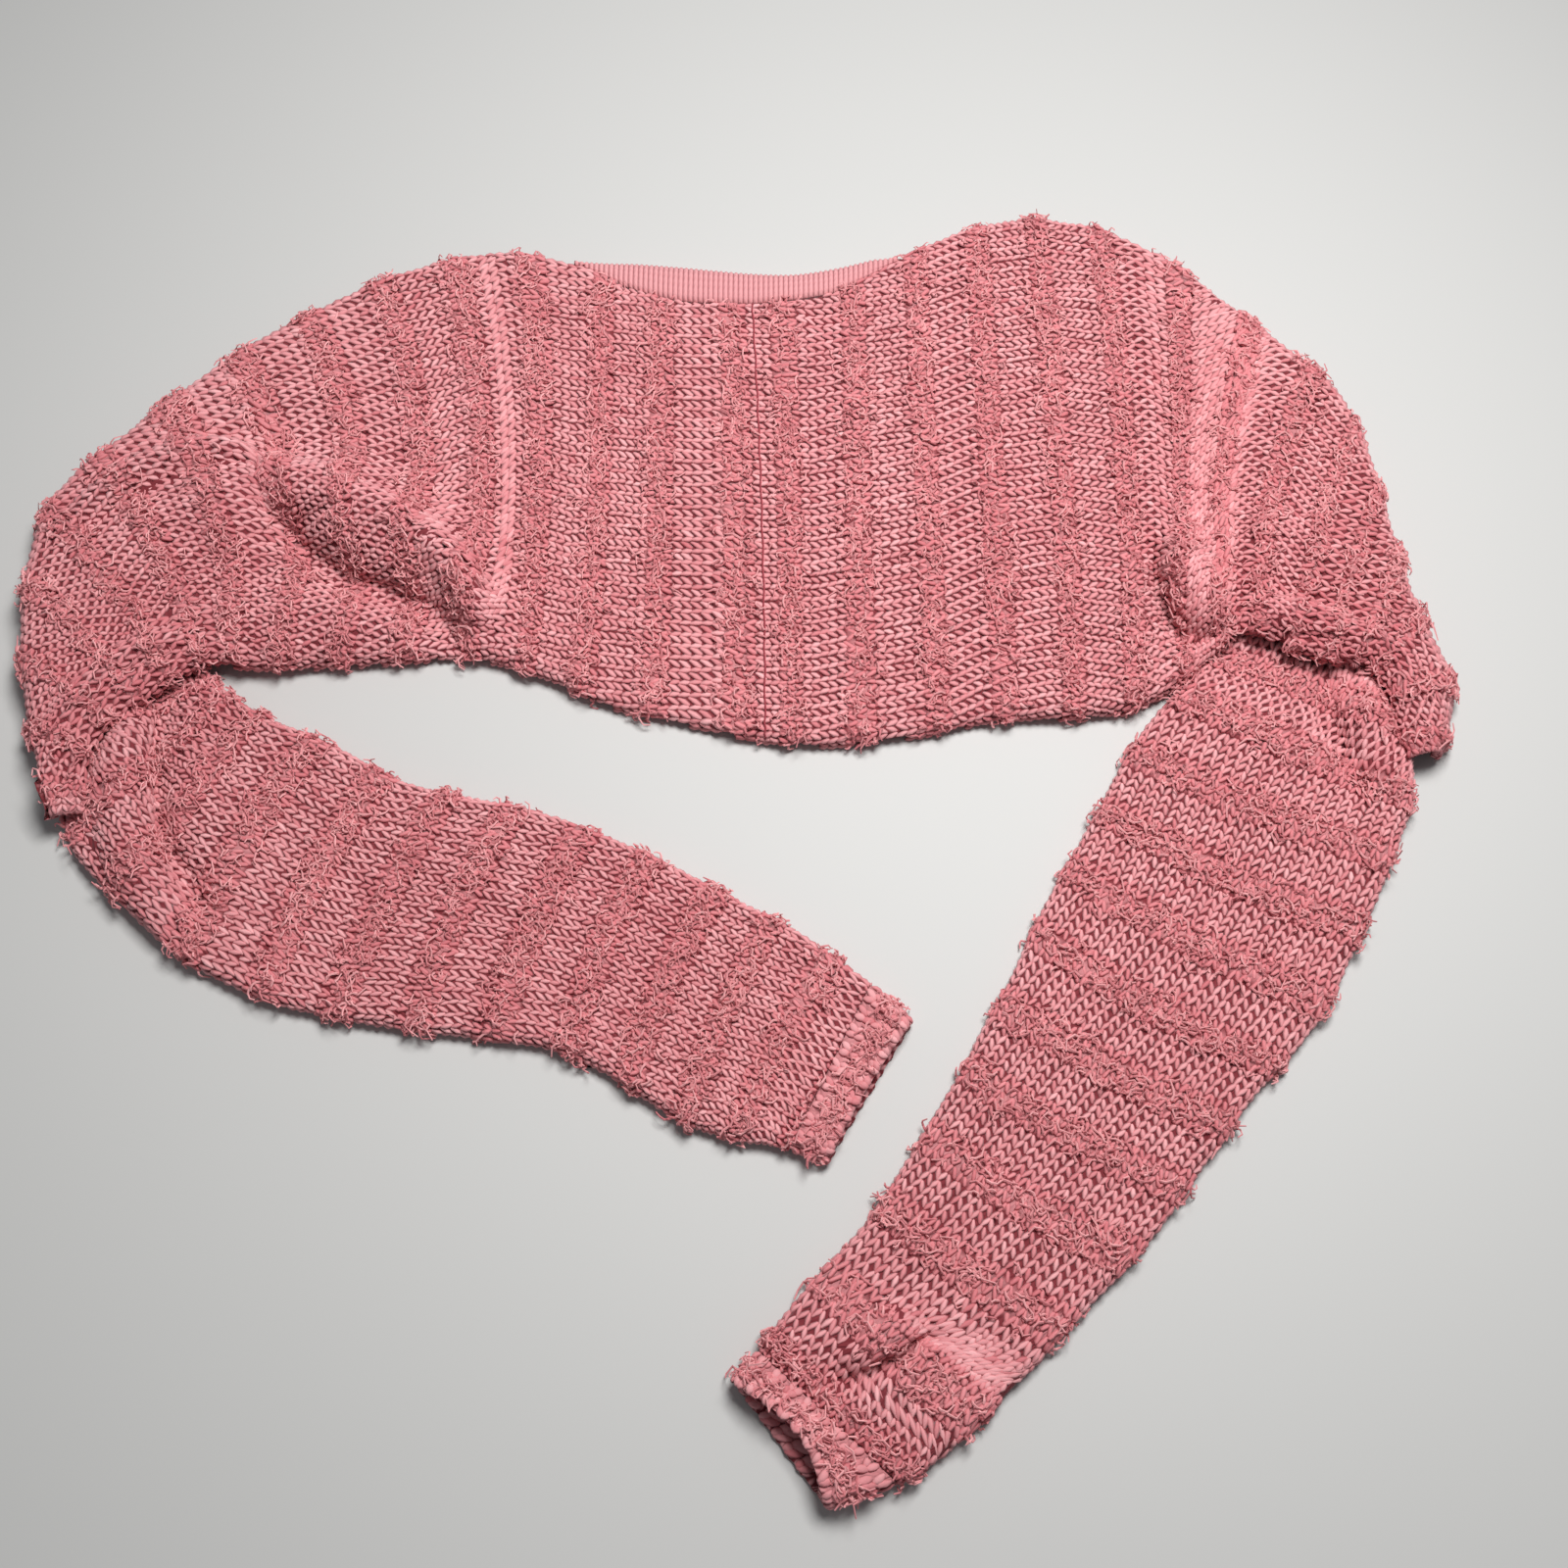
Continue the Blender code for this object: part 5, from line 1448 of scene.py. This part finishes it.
def cuff(name, table, gape, node, seed):
    rows = [smooth_row(table, place) for place in even_places(table, CUFF_SECTIONS)]
    plain, normal = tube(rows, {}, CUFF_POINTS_PER_RIB * CUFF_RIBS // 2 + 1)
    arm = plain[-1].mean(axis=0) - plain[0].mean(axis=0)
    arm[2] = 0
    arm /= np.linalg.norm(arm)
    plain[0] += SEAM_GAP * arm
    for section in range(1, CUFF_SECTIONS):
        height = plain[section, :, 2] / plain[section, :, 2].max()
        span = np.linalg.norm(plain[section, :, 0:2] - rows[section][[LOW_X, LOW_Y]], axis=1)
        share = np.clip(span / section_frame(rows[section])[2], 0, 1)
        back = gape * height * np.sin(math.pi * share) * (section / (CUFF_SECTIONS - 1))
        plain[section] -= np.outer(back, arm)
    around = np.arange(plain.shape[1]) / plain.shape[1]
    rib = 0.5 + 0.5 * np.cos(2 * math.pi * CUFF_RIBS * around)
    growth = np.clip(np.linspace(0, 2, CUFF_SECTIONS), CUFF_RIB_START, 1)
    outer = plain + CUFF_RIB_HEIGHT * growth[:, None, None] * rib[None, :, None] * normal
    outer[:, :, 2] = np.maximum(outer[:, :, 2], 0)
    courses = np.broadcast_to(np.linspace(0, 5, len(outer))[:, None], outer.shape[0:2])
    wales = np.broadcast_to(around[None, :] * CUFF_RIBS + 0.5, outer.shape[0:2])
    covered = np.ones(outer.shape[0:2])
    covered[-1] = 0.5
    inner = plain - KNIT_WALL * normal
    piece = make_wall(name, outer, inner, True, np.stack([courses, wales], axis=2), covered, covered)
    finish_cloth(piece, GROUND, node)
    chart = chart_of(outer, True, outer.shape[1] - 1)
    rng = np.random.default_rng(seed)
    course_step = (CUFF_SECTIONS - 1) / CUFF_COURSES
    course, rib_number = [part.ravel().astype(float) for part in np.meshgrid(
        np.arange(CUFF_COURSES) * course_step, np.arange(CUFF_RIBS), indexing="ij")]
    length = np.interp(course, np.arange(len(outer)), chart["length"])
    pitch = length / CUFF_RIBS
    course = course + rng.uniform(-0.25, 0.35, CUFF_RIBS)[rib_number.astype(int)]
    way = rib_number * pitch
    # The lining side of the lower lip shows in the mouth, so the last courses go on there too
    lining = chart_of(inner, True, outer.shape[1] - 1)
    lining["out"] = -lining["out"]
    lip = (course > 2.2 * course_step) & (rib_number >= CUFF_RIBS / 2) & (gape > 2)
    legs = []
    for side, surface, chosen in ((-1, chart, course > -1), (1, chart, course > -1), (-1, lining, lip),
                                  (1, lining, lip)):
        shift = rng.normal(0, 0.2, (2, len(course)))[:, chosen]
        near, near_out = on_chart(surface, course[chosen] + 1.25 * course_step,
                                  way[chosen] + side * 0.05 * pitch[chosen] + shift[0])
        far, far_out = on_chart(surface, course[chosen], way[chosen] + side * 0.27 * pitch[chosen] + shift[1])
        if not len(far):
            continue
        along = far - near
        long = np.linalg.norm(along, axis=1)
        out = near_out + far_out
        out /= np.linalg.norm(out, axis=1)[:, None]
        size = np.stack([rng.uniform(1.1, 1.35, len(long)), rng.uniform(0.9, 1.15, len(long)),
                         np.maximum(long, 4.2) * LEG_OVERLAP * MM], axis=1)
        middle = (near + far) / 2 + 0.5 * out
        middle[:, 2] = np.maximum(middle[:, 2], LOWEST_LEG)
        tint = np.clip(rng.normal(0.4, 0.18, len(long)), 0, 1)
        legs.append((middle, along / long[:, None], out, size, tint))
    parts = [np.concatenate([leg[k] for leg in legs]) for k in range(5)]
    mesh = point_mesh(name + "_legs", parts[0], {"along": parts[1], "out": parts[2], "size": parts[3]},
                      {"tint": parts[4]})
    stitches = grown(name + "_stitches", mesh, STITCHES, {
        "Leg width": 0.0029, "Leg height": 0.0027, "Leg arch": 0.0008, "Sides": 6, "Rings": 5,
        "Yarn": STITCH_YARN})
    chart["over"] = chart["length"] / 2
    frayed = fuzz(name + "_fuzz", chart, CUFF_SECTIONS / 2, CUFF_CURLS, (0, 0), seed + 1)


cuff("left_cuff", LEFT_CUFF, LEFT_CUFF_GAPE, "cuff_left", 51)
cuff("right_cuff", RIGHT_CUFF, RIGHT_CUFF_GAPE, "cuff_right", 52)


# Neck band: fine one-by-one rib in a thinner, paler yarn, with painted shade in its rib valleys, sewn to the
# opening's edge
# Outer edge of the neck band from left to right, its height and its outer rim's height
EDGE_X, EDGE_Y, EDGE_TOP, EDGE_RIM = range(4)
NECK_EDGE = (
    (-96.0, 275.2, 8.9, 4.4),
    (-79.5, 276.2, 9.3, 1.6),
    (-59.0, 275.0, 9.4, 0.3),
    (-38.0, 272.8, 9.4, 0.3),
    (-16.5, 270.8, 9.4, 0.3),
    (5.0, 270.4, 9.4, 0.3),
    (26.0, 273.2, 9.3, 1.6),
    (45.0, 277.6, 9.0, 4.4),
)
BAND_WALL = 2.2
BAND_START = -105.0
BAND_END = 57.0
BAND_RIB_PITCH = 2.5
BAND_RIB_HEIGHT = 0.8
BAND_POINTS = 9
BAND_LEAST = 1.5
BAND_POINTS_PER_RIB = 6
UNDER_BAND_START = -70.0
UNDER_BAND_END = 8.0
UNDER_BAND_WIDTH = 9.0


def seam_points(seam, start, end, count):
    """Points evenly along a seam line, between two places across the garment."""
    seam = seam[np.argsort(seam[:, 0])]
    way = np.linspace(start, end, count)
    return np.stack([way, np.interp(way, seam[:, 0], seam[:, 1]),
                     np.interp(way, seam[:, 0], seam[:, 2])], axis=1)


def band_material():
    material, tree, shader = cloth_shader("neck_band_yarn")
    yarn = shader_node(tree, "ShaderNodeGroup", {}, node_tree=YARN)
    yarn.inputs["Base"].default_value = (0.64, 0.25, 0.27, 1)
    yarn.inputs["Light"].default_value = (0.82, 0.42, 0.43, 1)
    chart = shader_node(tree, "ShaderNodeUVMap", uv_map="chart")
    split = shader_node(tree, "ShaderNodeSeparateXYZ", {0: chart.outputs[0]})
    side = maths(tree, "ABSOLUTE", maths(tree, "SUBTRACT", maths(tree, "FRACT", split.outputs[0]), 0.5))
    # Painted shade: the rib's valleys turn to the shade colour, its crests stay pink
    rise = maths(tree, "SUBTRACT", 1.58, maths(tree, "MULTIPLY", side, 2.6))
    yarn.inputs["Painted shade"].default_value = (0.27, 0.08, 0.09, 1)
    tree.links.new(rise, yarn.inputs["Rise"])
    phase = maths(tree, "MULTIPLY", split.outputs[1], 6.28)
    phase = maths(tree, "SINE", maths(tree, "MULTIPLY_ADD", side, 5.0, phase))
    bump = shader_node(tree, "ShaderNodeBump", {"Height": phase, "Strength": 0.3, "Distance": 0.0003})
    tree.links.new(yarn.outputs["Colour"], shader.inputs["Base Color"])
    tree.links.new(bump.outputs[0], shader.inputs["Normal"])
    return material


BAND_YARN = band_material()


def neck_band(seam):
    ribs = round((BAND_END - BAND_START) / BAND_RIB_PITCH)
    count = BAND_POINTS_PER_RIB * ribs + 1
    joins = seam_points(seam, BAND_START, BAND_END, count)
    rows = []
    first_edge, last_edge = NECK_EDGE[0][EDGE_X], NECK_EDGE[-1][EDGE_X]
    for join in joins:
        place = (join[0] - first_edge) / (last_edge - first_edge) * (len(NECK_EDGE) - 1)
        edge = smooth_row(NECK_EDGE, np.clip(place, 0, len(NECK_EDGE) - 1))
        edge[EDGE_X] = join[0]
        edge[EDGE_Y] = max(edge[EDGE_Y], join[1] + BAND_LEAST)
        start = join[0:2] + np.array([0, SEAM_GAP])
        rim = max(edge[EDGE_RIM], SEAM_GAP)
        rows.append(np.array([*start, edge[EDGE_X], edge[EDGE_Y], 0, edge[EDGE_TOP], join[2], rim]))
    plain, normal = laid_layer(rows, {}, BAND_POINTS, 0)
    wave = np.arange(count) / BAND_POINTS_PER_RIB
    lift = BAND_RIB_HEIGHT * (0.5 - 0.5 * np.cos(2 * math.pi * wave)) ** 0.7
    fade = np.interp(np.arange(BAND_POINTS), (0, 1, BAND_POINTS - 2, BAND_POINTS - 1), (0.4, 1, 1, 0.4))
    outer = plain + normal * lift[:, None, None] * fade[None, :, None]
    outer[:, :, 2] = np.maximum(outer[:, :, 2], 0)
    uv = np.stack([np.broadcast_to(wave[:, None], outer.shape[0:2]),
                   np.broadcast_to(np.linspace(0, 8, BAND_POINTS)[None, :], outer.shape[0:2])], axis=2)
    piece = make_wall("neck_band_rib", outer, plain - BAND_WALL * normal, False, uv, 0 * outer[:, :, 0])
    finish_cloth(piece, BAND_YARN, "neck_band")


def lower_band(seam):
    joins = seam_points(seam, UNDER_BAND_START, UNDER_BAND_END, 28)
    strip = np.array([[join[0:3] * (1, 1, 0) + (0, SEAM_GAP, 0),
                       join[0:3] * (1, 1, 0) + (0, SEAM_GAP + UNDER_BAND_WIDTH, 0)] for join in joins])
    uv = np.stack([strip[:, :, 0] / BAND_RIB_PITCH, strip[:, :, 1] / 2], axis=2)
    top = strip + np.array([0, 0, BAND_WALL])
    piece = make_wall("lower_neck_band", strip, top, False, uv, 0 * strip[:, :, 0])
    finish_cloth(piece, BAND_YARN, "neck_band_under")


neck_band(np.vstack([left_outer[:, -1], right_outer[:, -1]]))
lower_band(np.vstack([left_under_outer[:, -1], right_under_outer[:, -1]]))


# Plain pale floor in place of a table top, one soft lamp from the upper right, and the camera,
# which stands over the cuffs' side of the shrug and looks down at it.
FLOOR_HALF = 3.0
bpy.ops.mesh.primitive_plane_add(size=2 * FLOOR_HALF, location=(0, 0, 0))
floor = bpy.context.object
floor.name = "floor"
floor_paint = bpy.data.materials.new("floor_paint")
floor_paint.use_nodes = True
floor_shader = floor_paint.node_tree.nodes["Principled BSDF"]
floor_shader.inputs["Base Color"].default_value = (0.56, 0.56, 0.55, 1)
floor_shader.inputs["Roughness"].default_value = 0.6
floor.data.materials.append(floor_paint)

world = bpy.data.worlds.new("room")
bpy.context.scene.world = world
world.use_nodes = True
world.node_tree.nodes["Background"].inputs["Color"].default_value = (0.93, 0.96, 1.0, 1)
world.node_tree.nodes["Background"].inputs["Strength"].default_value = 0.15


def area_light(name, place, aim, size, power, colour):
    data = bpy.data.lights.new(name, "AREA")
    data.size = size
    data.energy = power
    data.color = colour
    lamp = bpy.data.objects.new(name, data)
    lamp.location = place
    direction = np.array(aim) - np.array(place)
    lamp.rotation_euler = Vector(direction).to_track_quat("-Z", "Y").to_euler()
    bpy.context.scene.collection.objects.link(lamp)


area_light("ceiling lamp", (0.20, 0.24, 0.95), (0, 0.05, 0), 0.36, 12.6, (1.0, 0.99, 0.98))

CAMERA_TILT = math.radians(20)
CAMERA_REACH = 0.70
camera_data = bpy.data.cameras.new("camera")
camera_data.sensor_width = 36.0
camera_data.lens = 36.045
camera = bpy.data.objects.new("camera", camera_data)
camera.location = (-LAY_CENTRE[0] * MM, -LAY_CENTRE[1] * MM - CAMERA_REACH * math.sin(CAMERA_TILT),
                   CAMERA_REACH * math.cos(CAMERA_TILT))
camera.rotation_euler = (CAMERA_TILT, 0, 0)
bpy.context.scene.collection.objects.link(camera)
bpy.context.scene.camera = camera
bpy.context.scene.view_settings.view_transform = "Standard"
